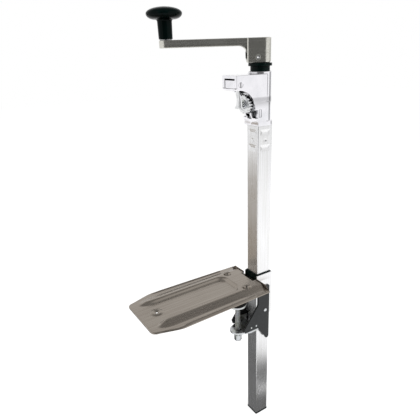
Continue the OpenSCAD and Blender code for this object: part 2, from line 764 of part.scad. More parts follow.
// Plain bearings for the wheel's shaft, in the carrier and in the back wall
module axle_bush() color([0.72, 0.55, 0.3]) {
    difference() {
        at_axle(carrier_front) rod_x(axle_r + axle_bush_t - fit, carrier_t);
        at_axle(carrier_front - 1) rod_x(axle_r + run_gap, carrier_t + 2);
    }
    difference() {
        at_axle(post_x + 4.2) rod_x(journal_r + axle_bush_t - fit, 7.5);
        at_axle(post_x + 3) rod_x(journal_r + run_gap, 7.5);
    }
}

module wheel_outline() {
    tip = wheel_d / 2;
    root = tip - wheel_tooth_h;
    step = 360 / wheel_teeth;
    polygon([for (i = [0 : wheel_teeth - 1], part = [[0, root], [0.35, tip], [0.65, tip]])
        let (a = (i + part[0]) * step) [part[1] * cos(a), part[1] * sin(a)]]);
}

module feed_wheel() color([0.7, 0.71, 0.73]) at_axle(wheel_front) difference() {
    rotate([0, 90, 0]) linear_extrude(wheel_t) wheel_outline();
    translate([-1, 0, 0]) rod_x(axle_r + fit, wheel_t + 2);
    translate([-1, 0, 0]) rod_x(wheel_washer_r + 0.2, wheel_bore_x - wheel_front + 1);
    translate([-1, 0, 0]) rod_x(wheel_d / 2 - 4, 1.8);
}

// The shaft's front end fills the wheel's bore, and its back journal runs in the rear bush
module wheel_shaft() color([0.62, 0.63, 0.65]) difference() {
    union() {
        at_axle(wheel_bore_x) rod_x(axle_r, face_root_x - wheel_bore_x + 1.5);
        at_axle(face_root_x) rod_x(journal_r, post_x + 10.5 - face_root_x);
    }
    at_axle(wheel_front) rod_x(wheel_screw_r, 14);
    gear_pin_shape(gear_pin_r + fit);
}

// Disc with radial teeth that face the pinion; a gap lies at the top at rest
module face_gear() color([0.6, 0.58, 0.5]) difference() {
    union() {
        at_axle(face_root_x - face_disc_t) rod_x(face_out_r, face_disc_t);
        for (i = [0 : face_teeth - 1])
            at_axle(face_root_x - 1) rotate([(i + 0.5) * 360 / face_teeth, 0, 0]) intersection() {
                difference() {
                    rod_x(face_out_r, face_tip_x - face_root_x + 1);
                    translate([-1, 0, 0]) rod_x(face_in_r, face_tip_x - face_root_x + 3);
                }
                face_tooth();
            }
    }
    at_axle(face_root_x - face_disc_t - 1) rod_x(axle_r + fit, face_disc_t + 1 + 1.5);
    at_axle(face_root_x - 1) rod_x(journal_r + fit, face_disc_t + 3);
    gear_pin_shape(gear_pin_r + fit);
}

// Wedge that one tooth is cut from, standing up along +Z from the wheel's axis
module face_tooth() {
    reach = 2 * face_out_r;
    half = reach * tan(tooth_share * 180 / face_teeth);
    bar_x(face_tip_x - face_root_x + 1) polygon([[0, 0], [half, reach], [-half, reach]]);
}

module gear_pin_shape(r) {
    l = 2 * (face_out_r - 2);
    translate([face_root_x - face_disc_t / 2, -l / 2, axle_z]) rod_y(r, l);
}

module gear_pin() color([0.3, 0.3, 0.32]) gear_pin_shape(gear_pin_r);

module wheel_washer() color([0.75, 0.75, 0.76]) at_axle(wheel_bore_x - wheel_washer_t) difference() {
    rod_x(wheel_washer_r, wheel_washer_t);
    translate([-1, 0, 0]) rod_x(wheel_screw_r + 0.1, wheel_washer_t + 2);
}

// Socket screw whose head stays below the wheel's face
module wheel_screw() color([0.6, 0.6, 0.62])
    at_axle(wheel_bore_x - wheel_washer_t - wheel_screw_head_h) difference() {
        union() {
            rod_x(wheel_screw_r + 1.5, wheel_screw_head_h);
            rod_x(wheel_screw_r - fit, wheel_screw_head_h + 11);
        }
        translate([-1, 0, 0]) rotate([0, 90, 0]) hex_bar(3, 2.6);
    }

// ---- upright drive ----

module drive_shaft() color([0.62, 0.63, 0.65]) at_post() difference() {
    union() {
        translate([0, 0, thrust_z + thrust_t])
            cylinder(r = shaft_r, h = hub_top - 4 - thrust_z - thrust_t);
        translate([0, 0, pinion_z + pinion_h])
            cylinder(r = shaft_low_r, h = thrust_z + 2 - pinion_z - pinion_h);
        translate([0, 0, pinion_z]) cylinder(r = shaft_foot_r, h = pinion_h + 1);
    }
    rotate([0, 0, crank_angle]) translate([cross_pin_off, -hub_w, cross_pin_z])
        rod_y(cross_pin_d / 2, 2 * hub_w);
    pinion_pin_shape(pinion_pin_r + fit);
}

// Spur pinion; a tooth points at the face gear at rest
module pinion_outline() {
    step = 360 / pinion_teeth;
    half = tooth_share * step / 2;
    polygon([for (i = [0 : pinion_teeth - 1], part = [[-1.5, pinion_root_r], [-0.62, pinion_tip_r],
                                                      [0.62, pinion_tip_r], [1.5, pinion_root_r]])
        let (a = 180 + i * step + part[0] * half) [part[1] * cos(a), part[1] * sin(a)]]);
}

module drive_pinion() color([0.55, 0.53, 0.46]) at_post() difference() {
    translate([0, 0, pinion_z]) linear_extrude(pinion_h) pinion_outline();
    translate([0, 0, pinion_z - 1]) cylinder(r = shaft_foot_r + fit, h = pinion_h + 2);
    pinion_pin_shape(pinion_pin_r + fit);
}

module pinion_pin_shape(r) {
    l = 2 * pinion_root_r - 0.8;
    translate([-l / 2, 0, pinion_z + pinion_h / 2]) rod_x(r, l);
}

module pinion_pin() color([0.3, 0.3, 0.32]) at_post() pinion_pin_shape(pinion_pin_r);

// Washer under the bush that keeps the shaft from lifting out
module thrust_washer() color([0.72, 0.55, 0.3]) at_post() translate([0, 0, thrust_z]) difference() {
    cylinder(r = bush_spigot_r - body_gap, h = thrust_t);
    translate([0, 0, -1]) cylinder(r = shaft_low_r + fit, h = thrust_t + 2);
}

module head_bush() color([0.05, 0.07, 0.07]) at_post() difference() {
    union() {
        translate([0, 0, boss_top]) cylinder(d = bush_d, h = bush_h + 1);
        translate([0, 0, boss_top + bush_h]) cylinder(d = bush_flange_d, h = bush_flange_t);
        translate([0, 0, boss_top - bush_spigot_l]) cylinder(r = bush_spigot_r, h = bush_spigot_l + 1);
    }
    translate([0, 0, boss_top - bush_spigot_l - 1])
        cylinder(r = shaft_r + run_gap, h = bush_spigot_l + bush_h + bush_flange_t + 2);
    translate([bush_spigot_r - 1.2, 0, bush_screw_z]) rod_x(bush_screw_r, 4);
}

module bush_screw() color([0.3, 0.3, 0.32])
at_post() translate([bush_spigot_r - 1, 0, bush_screw_z]) difference() {
    rod_x(bush_screw_r - fit, collar_w / 2 - bush_spigot_r + 0.6);
    translate([collar_w / 2 - bush_spigot_r - 1, 0, 0]) rotate([0, 90, 0]) hex_bar(2, 3);
}

// ---- crank ----

// Side profile of the crank along its arm, with the round under the arm
module crank_side() {
    arm_end = crank_l + arm_w / 2;
    polygon(concat(
        arc(hub_front - hub_l + hub_foot_r, hub_z + hub_foot_r, hub_foot_r, 180, 270, 6),
        arc(hub_front - hub_foot_r, hub_z + hub_foot_r, hub_foot_r, 270, 360, 6),
        [[hub_front, arm_z - fillet_r]],
        arc(hub_front + fillet_r, arm_z - fillet_r, fillet_r, 180, 90, 8),
        [[arm_end, arm_z], [arm_end, hub_top], [hub_front - hub_l, hub_top]]));
}

// Plan of the crank: a hub with round corners, and a straight arm with a round end
module crank_plan() {
    translate([hub_front - hub_l / 2, 0]) intersection() {
        round_rect(hub_l, hub_w, hub_front_r);
        union() {
            round_rect(hub_l, hub_w, hub_back_r);
            translate([0, -hub_w]) square(2 * hub_w);
        }
    }
    translate([0, -arm_w / 2]) square([crank_l, arm_w]);
    translate([crank_l, 0]) circle(arm_w / 2);
}

module crank_arm() color([0.5, 0.49, 0.46]) at_crank() difference() {
    intersection() {
        slab_y(2 * hub_w) crank_side();
        translate([0, 0, hub_z]) linear_extrude(hub_h) crank_plan();
    }
    translate([0, 0, hub_z - 1]) cylinder(r = shaft_r + fit, h = hub_h - 3);
    translate([cross_pin_off, -hub_w, cross_pin_z]) rod_y(cross_pin_d / 2, 2 * hub_w);
    translate([crank_l, 0, arm_z - 1]) cylinder(r = spindle_d / 2 - 1 + fit, h = arm_h + 2);
}

// Rolled spring pin, open along one side
module cross_pin() color([0.7, 0.7, 0.7])
at_crank() translate([cross_pin_off, 0, cross_pin_z]) difference() {
    translate([0, -hub_w / 2 + 0.3, 0]) rod_y(cross_pin_d / 2 - fit, hub_w - 0.6);
    translate([0, -hub_w, 0]) rod_y(cross_pin_d / 2 - 1.1, 2 * hub_w);
    translate([-cross_pin_d, -hub_w, -0.4]) cube([cross_pin_d, 2 * hub_w, 0.8]);
}

// ---- knob ----

module knob_spindle() color([0.65, 0.65, 0.67]) at_crank() translate([crank_l, 0, 0]) {
    translate([0, 0, arm_z]) cylinder(r = spindle_d / 2 - 1, h = arm_h + 1);
    translate([0, 0, hub_top]) cylinder(d = spindle_d, h = spindle_top - hub_top);
    translate([0, 0, spindle_top]) cylinder(r = spindle_head_r, h = spindle_head_h);
}

module knob_washer() color([0.75, 0.75, 0.76]) at_crank() translate([crank_l, 0, hub_top]) difference() {
    cylinder(d = stem_d - 3, h = knob_washer_t);
    translate([0, 0, -1]) cylinder(d = spindle_d + 2 * fit, h = knob_washer_t + 2);
}

// Half profile of the knob: tapered stem, hollow under the cap, and a domed top
module knob_profile() {
    rim_r = knob_d / 2;
    rim_z = knob_h * 0.48;
    polygon(concat(
        [[0, 0], [stem_d / 2 - 0.5, 0], [stem_d / 2, 0.5], [stem_d / 2 - 0.5, stem_h - 3]],
        arc(stem_d / 2 + 2.5, stem_h - 3, 3, 180, 90, 5),
        [for (i = [1 : 8]) let (t = 90 * i / 8)
            [stem_d / 2 + 2.5 + (rim_r - stem_d / 2 - 2.5) * sin(t), stem_h + rim_z * (1 - cos(t))]],
        [for (i = [1 : 12]) let (t = 90 * i / 12)
            [rim_r * cos(t), stem_h + rim_z + (knob_h - rim_z) * sin(t)]]));
}

module knob() color([0.03, 0.05, 0.05]) at_crank() translate([crank_l, 0, 0]) difference() {
    translate([0, 0, stem_z]) rotate_extrude($fn = 96) knob_profile();
    translate([0, 0, stem_z - 1]) cylinder(r = spindle_d / 2 + run_gap, h = spindle_top - stem_z + 2);
    translate([0, 0, spindle_top - body_gap]) cylinder(r = knob_well_r, h = knob_top);
}

// Cap that closes the well over the spindle's head and completes the dome
module knob_cap() color([0.03, 0.05, 0.05]) at_crank() translate([crank_l, 0, 0]) intersection() {
    translate([0, 0, stem_z]) rotate_extrude($fn = 96) knob_profile();
    translate([0, 0, spindle_top + spindle_head_h + body_gap])
        cylinder(r = knob_well_r - fit, h = knob_top);
}

base_plate();
socket_sleeve();
upper_liner();
lower_liner();
friction_spring();
spring_rivets();
near_cheek();
far_cheek();
cheek_rivets();
clamp_arm();
arm_screws();
clamp_nut();
clamp_screw();
clamp_pad();
pad_rubber();
post_tube();
post_end_cap();
head_casting();
blade_cartridge();
blade();
blade_screws();
cartridge_screw();
wheel_carrier();
carrier_screw();
axle_bush();
head_bush();
bush_screw();
feed_wheel();
wheel_shaft();
face_gear();
gear_pin();
wheel_screw();
wheel_washer();
drive_shaft();
drive_pinion();
pinion_pin();
thrust_washer();
crank_arm();
cross_pin();
knob_spindle();
knob_washer();
knob();
knob_cap();
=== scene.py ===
"""Bench-mounted manual can opener: pieces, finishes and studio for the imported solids."""

import json
from math import copysign, cos, hypot, pi, radians, sin, sqrt

import bmesh
import bpy
from mathutils import Matrix, Vector


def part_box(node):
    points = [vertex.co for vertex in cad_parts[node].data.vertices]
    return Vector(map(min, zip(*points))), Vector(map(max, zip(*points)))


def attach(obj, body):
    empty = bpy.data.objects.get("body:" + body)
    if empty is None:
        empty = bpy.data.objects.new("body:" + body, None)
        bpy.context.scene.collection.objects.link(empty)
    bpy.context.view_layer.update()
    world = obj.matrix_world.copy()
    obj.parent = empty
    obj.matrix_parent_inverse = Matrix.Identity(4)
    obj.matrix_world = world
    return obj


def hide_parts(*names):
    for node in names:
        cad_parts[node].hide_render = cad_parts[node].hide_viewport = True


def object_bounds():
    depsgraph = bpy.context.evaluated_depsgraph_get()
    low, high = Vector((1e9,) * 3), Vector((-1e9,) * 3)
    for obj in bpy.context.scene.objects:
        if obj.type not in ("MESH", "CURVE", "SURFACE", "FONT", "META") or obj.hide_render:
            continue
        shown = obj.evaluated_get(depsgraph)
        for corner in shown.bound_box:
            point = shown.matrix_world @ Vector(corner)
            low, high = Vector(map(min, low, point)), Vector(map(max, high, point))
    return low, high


bl_info = {
    "name": "Bench Can Opener",
    "version": (1, 0, 0),
    "blender": (4, 5, 0),
    "location": "View3D > Sidebar > Can Opener",
    "description": "Builds the pieces, finishes and studio of a bench-mounted manual can opener",
    "category": "Object",
}

MM = 0.001
CRANK_TURN = radians(146.0)  # from +X to the crank arm, about +Z
WAIST_DROP = 32 * MM  # from the top of the head down to the line where its waist starts

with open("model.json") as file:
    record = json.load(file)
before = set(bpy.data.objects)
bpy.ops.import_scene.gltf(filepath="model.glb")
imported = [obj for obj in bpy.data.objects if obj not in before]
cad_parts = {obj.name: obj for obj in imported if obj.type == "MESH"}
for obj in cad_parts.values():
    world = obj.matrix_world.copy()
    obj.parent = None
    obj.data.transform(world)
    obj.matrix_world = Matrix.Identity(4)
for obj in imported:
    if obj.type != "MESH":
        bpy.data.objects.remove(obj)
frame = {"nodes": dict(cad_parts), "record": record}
solid_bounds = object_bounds()
NODES = frame["nodes"]
RECORD = frame["record"]
BODY_OF = {node: body for body, nodes in RECORD["behaviour"]["bodies"].items() for node in nodes}
SLOT_OF = {part["node"]: part["material_slot"] for part in RECORD["subparts"]}
BOX = {node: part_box(node) for node in NODES}


# Corners, size and middle of a node's box, in metres


def low(node):
    return BOX[node][0]


def high(node):
    return BOX[node][1]


def span(node, axis):
    return high(node)[axis] - low(node)[axis]


def middle(node):
    return (low(node) + high(node)) / 2


# ---------------------------------------------------------------- properties


def length(name, description, default, top=1.0):
    return bpy.props.FloatProperty(
        name=name, description=description, default=default, min=0.0, max=top,
        unit="LENGTH", subtype="DISTANCE", precision=5)


def linear(code):
    """Linear colour for an sRGB hex value such as '8f8c86'."""
    channels = [int(code[i:i + 2], 16) / 255 for i in (0, 2, 4)]
    return tuple(c / 12.92 if c <= 0.04045 else ((c + 0.055) / 1.055) ** 2.4 for c in channels) + (1.0,)


def colour(name, description, code):
    return bpy.props.FloatVectorProperty(
        name=name, description=description, subtype="COLOR", size=4, min=0.0, max=1.0,
        default=linear(code))


class CanOpenerSizes(bpy.types.PropertyGroup):
    """Sizes of the pieces that are modelled here."""

    sheet: length("Sheet", "Thickness of the pressed plate's metal", 1.5 * MM)
    flat_z: length("Flat height", "Top of the plate's flat metal", 2.4 * MM)
    rib_z: length("Rib height", "Top of the plate's ribs and deck", 7.0 * MM)
    panel_half: length("Panel half width", "From the plate's middle to the foot of a rib", 21.0 * MM)
    rib_width: length("Rib width", "Width of one rib over its slopes", 24.0 * MM)
    hole: length("Fixing hole", "Radius of the fixing holes", 2.75 * MM)
    hole_gap: length("Back hole gap", "From the plate's middle line to a back hole", 26.0 * MM)
    front_hole: length("Front hole run", "From the back holes to the front one", 138.0 * MM)
    edge: length("Edge round", "Radius that takes the sharpness off a worked edge", 0.45 * MM)
    cast_edge: length("Cast edge round", "Radius on the castings' edges", 0.9 * MM)
    thread_pitch: length("Thread pitch", "Pitch of the clamp screw", 1.25 * MM)
    mark_depth: length("Mark depth", "Depth of the pressed marks in the post", 1.1 * MM)


class CanOpenerColours(bpy.types.PropertyGroup):
    """Colours of the finishes, one or two for each."""

    plate: colour("Plate", "Satin stainless of the plate", "9b948b")
    plate_tint: colour("Plate tint", "Warmer streaks in the plate", "8d847b")
    post: colour("Post", "Bright satin stainless of the post and the sleeve", "e8e8ea")
    post_tint: colour("Post tint", "Duller lines in the post", "dcdcdb")
    plating: colour("Plating", "Bright nickel plate on the head", "f3f2f6")
    plating_tint: colour("Plating tint", "Thinner plate in hollows", "e6e6ea")
    # Painted shade: a near-black colour for the head's hollows
    painted_shade: colour("Hollow shade", "Painted shade in the head's hollows", "1d2623")
    crank: colour("Crank", "Brushed stainless casting of the crank", "d8d7d0")
    crank_tint: colour("Crank tint", "Darker grain of the crank", "c4c2ba")
    tool: colour("Tool steel", "Ground tool steel of the blade and wheel", "e8e9ea")
    ground: colour("Ground steel", "Turned and ground shafts and gears", "b0b1b4")
    zinc: colour("Zinc plate", "Bright zinc on the clamp's parts", "c9cbd0")
    zinc_tint: colour("Zinc tint", "Yellow-blue cast of the zinc", "b9bdb8")
    oxide: colour("Black oxide", "Small black screws and pins", "26272a")
    paint: colour("Black paint", "Stoved paint on the bracket", "1b1d1e")
    primer: colour("Worn paint", "Where the paint has rubbed thin", "4a4d4f")
    bronze: colour("Bronze", "Sintered bearing bronze", "b98b4e")
    nylon: colour("Black nylon", "Bush, liners and end cap", "020d0b")
    phenolic: colour("Knob", "Gloss black phenolic of the knob", "020a09")
    rubber: colour("Rubber", "Face of the clamp pad", "161616")


def sizes():
    return bpy.context.scene.can_opener_sizes


def colours():
    return bpy.context.scene.can_opener_colours


# ---------------------------------------------------------------- materials


def add_node(tree, kind, inputs=None, out=0, **settings):
    """Adds a shader node with its settings, sets or links its inputs, and returns one of its outputs."""
    node = tree.nodes.new("ShaderNode" + kind)
    for key, value in settings.items():
        setattr(node, key, value)
    for key, value in (inputs or {}).items():
        if isinstance(value, bpy.types.NodeSocket):
            tree.links.new(value, node.inputs[key])
        else:
            node.inputs[key].default_value = value
    return node.outputs[out] if node.outputs else None


def new_material(name, surface):
    """A material that shows the shader which surface(tree) returns."""
    material = bpy.data.materials.new(name)
    material.use_nodes = True
    tree = material.node_tree
    tree.nodes.clear()
    add_node(tree, "OutputMaterial", {"Surface": surface(tree)})
    return material


def pattern(tree, kind, cell, turn=0.0, **settings):
    """A pattern that lies in the object's own coordinates, turned about +Z.

    cell is its size in mm, or its sizes along x, y and z."""
    cells = cell if isinstance(cell, (list, tuple)) else [cell] * 3
    place = add_node(tree, "TexCoord", out="Object")
    own = add_node(tree, "Mapping", {
        "Vector": place, "Rotation": (0.0, 0.0, turn), "Scale": [c * MM for c in cells],
    }, vector_type="TEXTURE")
    return add_node(tree, kind, {"Vector": own, "Scale": 1.0, **settings})


def ramp(value, start, end, first=0.0, last=1.0):
    """Inputs that take a value's range, from start to end, to another."""
    return {"Value": value, "From Min": start, "From Max": end, "To Min": first, "To Max": last}


def shade(tone, share):
    """A colour made darker or lighter by a share."""
    return tuple(min(1.0, share * c) for c in tone[:3]) + (1.0,)


def painted_hollow_shading(tree, tone, reach, depth):
    """The colour darkened in hollows, a painted shade. reach is how far in mm a neighbour still shades."""
    hollow = add_node(tree, "AmbientOcclusion", {"Distance": reach * MM}, out="AO", samples=8)
    hollow_shade = add_node(tree, "MapRange", ramp(hollow, 0.15, 0.75, depth, 1.0))
    return add_node(tree, "Mix", {0: 1.0, 6: tone, 7: hollow_shade}, out=2, data_type="RGBA", blend_type="MULTIPLY")


def two_tone(tree, base, other, spots, share, rough, surface, grain=None, hollow_shade=None):
    """A finish whose base tone goes over into another with a pattern, which sets the gloss as well.

    share and rough: the pattern's range, and what its ends give as the other tone's share and as the
    roughness. surface: further settings of the shader. grain: cell in mm, strength and depth in mm of a fine
    relief. The last argument paints shade into the hollows: its reach in mm and its depth."""
    part = add_node(tree, "MapRange", ramp(spots, *share))
    dull = add_node(tree, "MapRange", ramp(spots, *rough))
    tone = add_node(tree, "Mix", {0: part, 6: base, 7: other}, out=2, data_type="RGBA")
    if grain:
        cell, strength, depth = grain
        fine = pattern(tree, "TexNoise", cell, Detail=2.0)
        relief = add_node(tree, "Bump", {"Height": fine, "Strength": strength, "Distance": depth * MM})
        surface = {**surface, "Normal": relief}
    # Painted shade: the tone is darkened in the hollows
    if hollow_shade:
        tone = painted_hollow_shading(tree, tone, *hollow_shade)
    return add_node(tree, "BsdfPrincipled", {"Base Color": tone, "Roughness": dull, **surface})


def turned_steel(tree, base, roughness):
    """Ground or turned steel: even and bright, with faint tool lines 0.4 mm apart, coarser than real ones."""
    # Painted shade darkens the hollows of this steel
    return two_tone(tree, base, shade(base, 0.8), pattern(tree, "TexNoise", 5.0, Detail=4.0),
                    (0.45, 0.75), (0.3, 0.7, *roughness), {"Metallic": 1.0},
                    grain=([0.4, 5.0, 0.4], 0.15, 0.03), hollow_shade=(4.0, 0.35))


def oxide_black(tree, base):
    """Steel blackened in hot salts: dark, thin and slightly oily, and rubbed lighter in spots."""
    return two_tone(tree, base, shade(base, 2.2), pattern(tree, "TexNoise", 2.5, Detail=4.0),
                    (0.55, 0.8), (0.3, 0.7, 0.32, 0.46), {"Metallic": 0.7})


def sintered_bronze(tree, base):
    """Pressed and sintered bronze: matt golden brown with fine pores that hold oil."""
    return two_tone(tree, base, shade(base, 0.55), pattern(tree, "TexVoronoi", 0.5),
                    (0.0, 0.25, 1.0, 0.0), (0.0, 0.5, 0.5, 0.36), {"Metallic": 1.0})


def black_moulding(tree, base, cell, scuffed, roughness, gloss, ior):
    """Black polymer out of a mould: an even dark body, a fine grained face, and paler patches from handling."""
    scuffs = pattern(tree, "TexNoise", scuffed, Detail=5.0, Roughness=0.65)
    return two_tone(tree, base, shade(base, 2.4), scuffs, (0.5, 0.75), (0.3, 0.75, *roughness),
                    {"IOR": ior, "Specular IOR Level": gloss}, grain=(cell, 0.2, 0.05))


def brushed_steel(tree, base, tint, way, turn=0.0, roughness=(0.2, 0.26), cloud=45.0, depth=0.2):
    """Stainless steel finished with an abrasive belt: it leaves parallel lines along the metal's length.

    The belt's own lines are under 0.1 mm apart. They are drawn 0.45 mm apart and gathered in streaks 1.3 mm
    wide, so that they show from a metre away, and a broad cloud gives the rolled sheet's uneven lustre."""
    streak, line = [1.3] * 3, [0.45] * 3
    streak["xyz".index(way)], line["xyz".index(way)] = 90.0, 30.0
    streaks = pattern(tree, "TexNoise", streak, turn, Detail=3.0, Roughness=0.6)
    lines = pattern(tree, "TexNoise", line, turn, Detail=2.0, Roughness=0.7)
    clouds = pattern(tree, "TexNoise", cloud, Detail=2.0, Roughness=0.5)
    share = add_node(tree, "MapRange", ramp(streaks, 0.36, 0.66))
    tone = add_node(tree, "Mix", {0: share, 6: base, 7: tint}, out=2, data_type="RGBA")
    dull = add_node(tree, "MapRange", ramp(clouds, 0.35, 0.65, *roughness))
    rough = add_node(tree, "Math", {0: lines, 1: 0.08, 2: dull}, operation="MULTIPLY_ADD")
    relief = add_node(tree, "Bump", {"Height": lines, "Strength": depth, "Distance": 0.03 * MM})
    # The tone is darkened in hollows as painted shade
    return add_node(tree, "BsdfPrincipled", {
        "Base Color": painted_hollow_shading(tree, tone, 7.0, 0.05), "Metallic": 1.0, "Roughness": rough,
        "Normal": relief})


def plated_casting(tree, base, tint, painted_shade):
    """Zinc alloy casting, polished and nickel plated: bright, with the casting's slight waves.

    Polish and plate thin out in the deep hollows, and a near-black painted shade darkens them."""
    waves = pattern(tree, "TexNoise", 9.0, Detail=1.0)
    haze = pattern(tree, "TexNoise", 22.0, Detail=3.0, Roughness=0.6)
    thin = add_node(tree, "MapRange", ramp(haze, 0.4, 0.7))
    tone = add_node(tree, "Mix", {0: thin, 6: base, 7: tint}, out=2, data_type="RGBA")
    hollow = add_node(tree, "AmbientOcclusion", {"Distance": 14 * MM}, out="AO", samples=12)
    deep = add_node(tree, "MapRange", ramp(hollow, 0.62, 0.45))
    # Painted shade: the waist is darkened just under its upper edge, and the darkening fades out below; dull is
    # its mask
    place = add_node(tree, "TexCoord", out="Object")
    up = add_node(tree, "SeparateXYZ", {0: place}, out="Z")
    waist = high("head_casting").z - WAIST_DROP
    above = add_node(tree, "MapRange", ramp(up, waist + 1.5 * MM, waist - 0.5 * MM))
    fading = add_node(tree, "MapRange", ramp(up, waist - 16 * MM, waist - 1 * MM, 0.0, 0.6),
                      interpolation_type="SMOOTHSTEP")
    dull = add_node(tree, "Math", {0: above, 1: fading}, operation="MULTIPLY")
    waist_shade = add_node(tree, "Mix", {0: dull, 6: tone, 7: shade(base, 0.25)}, out=2, data_type="RGBA")
    # Painted shade: deep hollows go over into the near-black shade colour; worn holds the result
    worn = add_node(tree, "Mix", {0: deep, 6: waist_shade, 7: painted_shade}, out=2, data_type="RGBA")
    polish = add_node(tree, "MapRange", ramp(haze, 0.3, 0.7, 0.13, 0.2))
    rough = add_node(tree, "Math", {0: deep, 1: 0.4, 2: polish}, operation="MULTIPLY_ADD")
    relief = add_node(tree, "Bump", {"Height": waves, "Strength": 0.15, "Distance": 0.3 * MM})
    return add_node(tree, "BsdfPrincipled", {
        "Base Color": worn, "Metallic": 1.0, "Roughness": rough, "Normal": relief})


def zinc_plating(tree, base, tint):
    """Bright zinc plate, passivated: a cool metal with a faint yellow and blue cast and a fine spangle."""
    cast = pattern(tree, "TexNoise", 9.0, Detail=2.0)
    grains = pattern(tree, "TexVoronoi", 1.2)
    share = add_node(tree, "MapRange", ramp(cast, 0.35, 0.65))
    tone = add_node(tree, "Mix", {0: share, 6: base, 7: tint}, out=2, data_type="RGBA")
    rough = add_node(tree, "MapRange", ramp(grains, 0.0, 0.8, 0.22, 0.34))
    # The tone is darkened in hollows as painted shade
    return add_node(tree, "BsdfPrincipled", {
        "Base Color": painted_hollow_shading(tree, tone, 4.0, 0.45), "Metallic": 1.0, "Roughness": rough})


def stoved_paint(tree, base, worn):
    """Steel sprayed with black stoving enamel: a fine orange peel, rubbed thinner on raised edges."""
    peel = pattern(tree, "TexNoise", 0.9, Detail=1.0)
    rub = pattern(tree, "TexNoise", 3.5, Detail=5.0, Roughness=0.65)
    edges = add_node(tree, "NewGeometry", out="Pointiness")
    edge = add_node(tree, "MapRange", ramp(edges, 0.52, 0.6))
    patchy = add_node(tree, "MapRange", ramp(rub, 0.45, 0.65))
    wear = add_node(tree, "Math", {0: edge, 1: patchy}, operation="MULTIPLY")
    tone = add_node(tree, "Mix", {0: wear, 6: base, 7: worn}, out=2, data_type="RGBA")
    rough = add_node(tree, "MapRange", ramp(rub, 0.3, 0.7, 0.3, 0.42))
    relief = add_node(tree, "Bump", {"Height": peel, "Strength": 0.3, "Distance": 0.08 * MM})
    return add_node(tree, "BsdfPrincipled", {
        "Base Color": tone, "Roughness": rough, "Specular IOR Level": 0.3, "Normal": relief})


def build_finish(slot):
    """Makes the material of a slot from its name and the function that builds its surface."""
    tone = colours()
    name, surface = {
        "satin_stainless": ("satin stainless sheet", lambda tree: brushed_steel(
            tree, tone.plate, tone.plate_tint, "x", roughness=(0.17, 0.23), cloud=60.0, depth=0.06)),
        "bright_stainless": ("bright stainless tube", lambda tree: brushed_steel(
            tree, tone.post, tone.post_tint, "z")),
        "bright_plating": ("nickel plated casting", lambda tree: plated_casting(
            tree, tone.plating, tone.plating_tint, tone.painted_shade)),
        "cast_stainless": ("brushed stainless casting", lambda tree: brushed_steel(
            tree, tone.crank, tone.crank_tint, "x", turn=CRANK_TURN, cloud=30.0)),
        "tool_steel": ("ground tool steel", lambda tree: turned_steel(tree, tone.tool, (0.16, 0.26))),
        "ground_steel": ("turned steel", lambda tree: turned_steel(tree, tone.ground, (0.22, 0.34))),
        "zinc_plate": ("bright zinc plate", lambda tree: zinc_plating(tree, tone.zinc, tone.zinc_tint)),
        "black_oxide": ("black oxide steel", lambda tree: oxide_black(tree, tone.oxide)),
        "black_paint": ("black stoving enamel", lambda tree: stoved_paint(tree, tone.paint, tone.primer)),
        "bearing_bronze": ("sintered bronze", lambda tree: sintered_bronze(tree, tone.bronze)),
        # Nylon from a spark-eroded mould: a soft sheen and pale scuffs
        "black_plastic": ("moulded black nylon", lambda tree: black_moulding(
            tree, tone.nylon, 0.35, [6.0, 6.0, 1.2], (0.3, 0.42), 0.08, 1.53)),
        # Phenolic, compression moulded and tumbled: a deep gloss that hands have dulled in patches
        "knob_plastic": ("polished black phenolic", lambda tree: black_moulding(
            tree, tone.phenolic, [0.5, 4.0, 0.5], 13.0, (0.12, 0.24), 0.04, 1.6)),
        # Nitrile rubber: matt, with a bloom of grey dust in its grain
        "rubber": ("moulded nitrile rubber", lambda tree: black_moulding(
            tree, tone.rubber, 0.6, 3.0, (0.7, 0.85), 0.3, 1.52)),
    }[slot]
    return new_material(name, surface)


FINISHES = {}


def finish(slot):
    """The material of a slot, made once."""
    if slot not in FINISHES:
        FINISHES[slot] = build_finish(slot)
    return FINISHES[slot]


# ---------------------------------------------------------------- pieces


def make_object(name, bm, material):
    """An object at the origin from a bmesh, which is freed."""
    mesh = bpy.data.meshes.new(name)
    bm.to_mesh(mesh)
    bm.free()
    mesh.materials.append(material)
    thing = bpy.data.objects.new(name, mesh)
    bpy.context.scene.collection.objects.link(thing)
    return thing


def place_piece(name, bm, nodes, crease=30.0, even=False, outward=True):
    """Makes the bmesh a piece that replaces these nodes, rides on their body and takes their finish."""
    if outward:
        bmesh.ops.recalc_face_normals(bm, faces=bm.faces)
    piece = make_object(name, bm, finish(SLOT_OF[nodes[0]]))
    piece.data.shade_smooth()
    piece.data.set_sharp_from_angle(angle=radians(crease))
    if even:
        weighted = piece.modifiers.new("even shading", "WEIGHTED_NORMAL")
        weighted.keep_sharp = True
    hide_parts(*nodes)
    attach(piece, BODY_OF[nodes[0]])
    return piece


def cut_plane(bm, place, normal, **choices):
    """Cuts the whole bmesh with a plane, and returns what lies in the cut."""
    return bmesh.ops.bisect_plane(bm, geom=bm.verts[:] + bm.edges[:] + bm.faces[:], plane_co=place,
                                  plane_no=normal, **choices)["geom_cut"]


def close_holes(bm):
    bmesh.ops.holes_fill(bm, edges=[edge for edge in bm.edges if edge.is_boundary])


def solid_copy(node, cuts=()):
    """Bmesh of a solid, with its flat faces whole again.

    A face with a hole in it is kept in two halves, cut through its middle. cuts holds more (point, normal)
    planes for the holes that lie elsewhere."""
    bm = bmesh.new()
    bm.from_mesh(NODES[node].data)
    bmesh.ops.remove_doubles(bm, verts=bm.verts, dist=1e-6)
    for place, normal in [(middle(node), (1, 0, 0)), (middle(node), (0, 1, 0)), *cuts]:
        for part in cut_plane(bm, place, normal, dist=1e-6):
            if isinstance(part, bmesh.types.BMEdge):
                part.seam = True
    bmesh.ops.dissolve_limit(bm, angle_limit=radians(0.7), verts=bm.verts, edges=bm.edges, delimit={"SEAM"})
    return bm


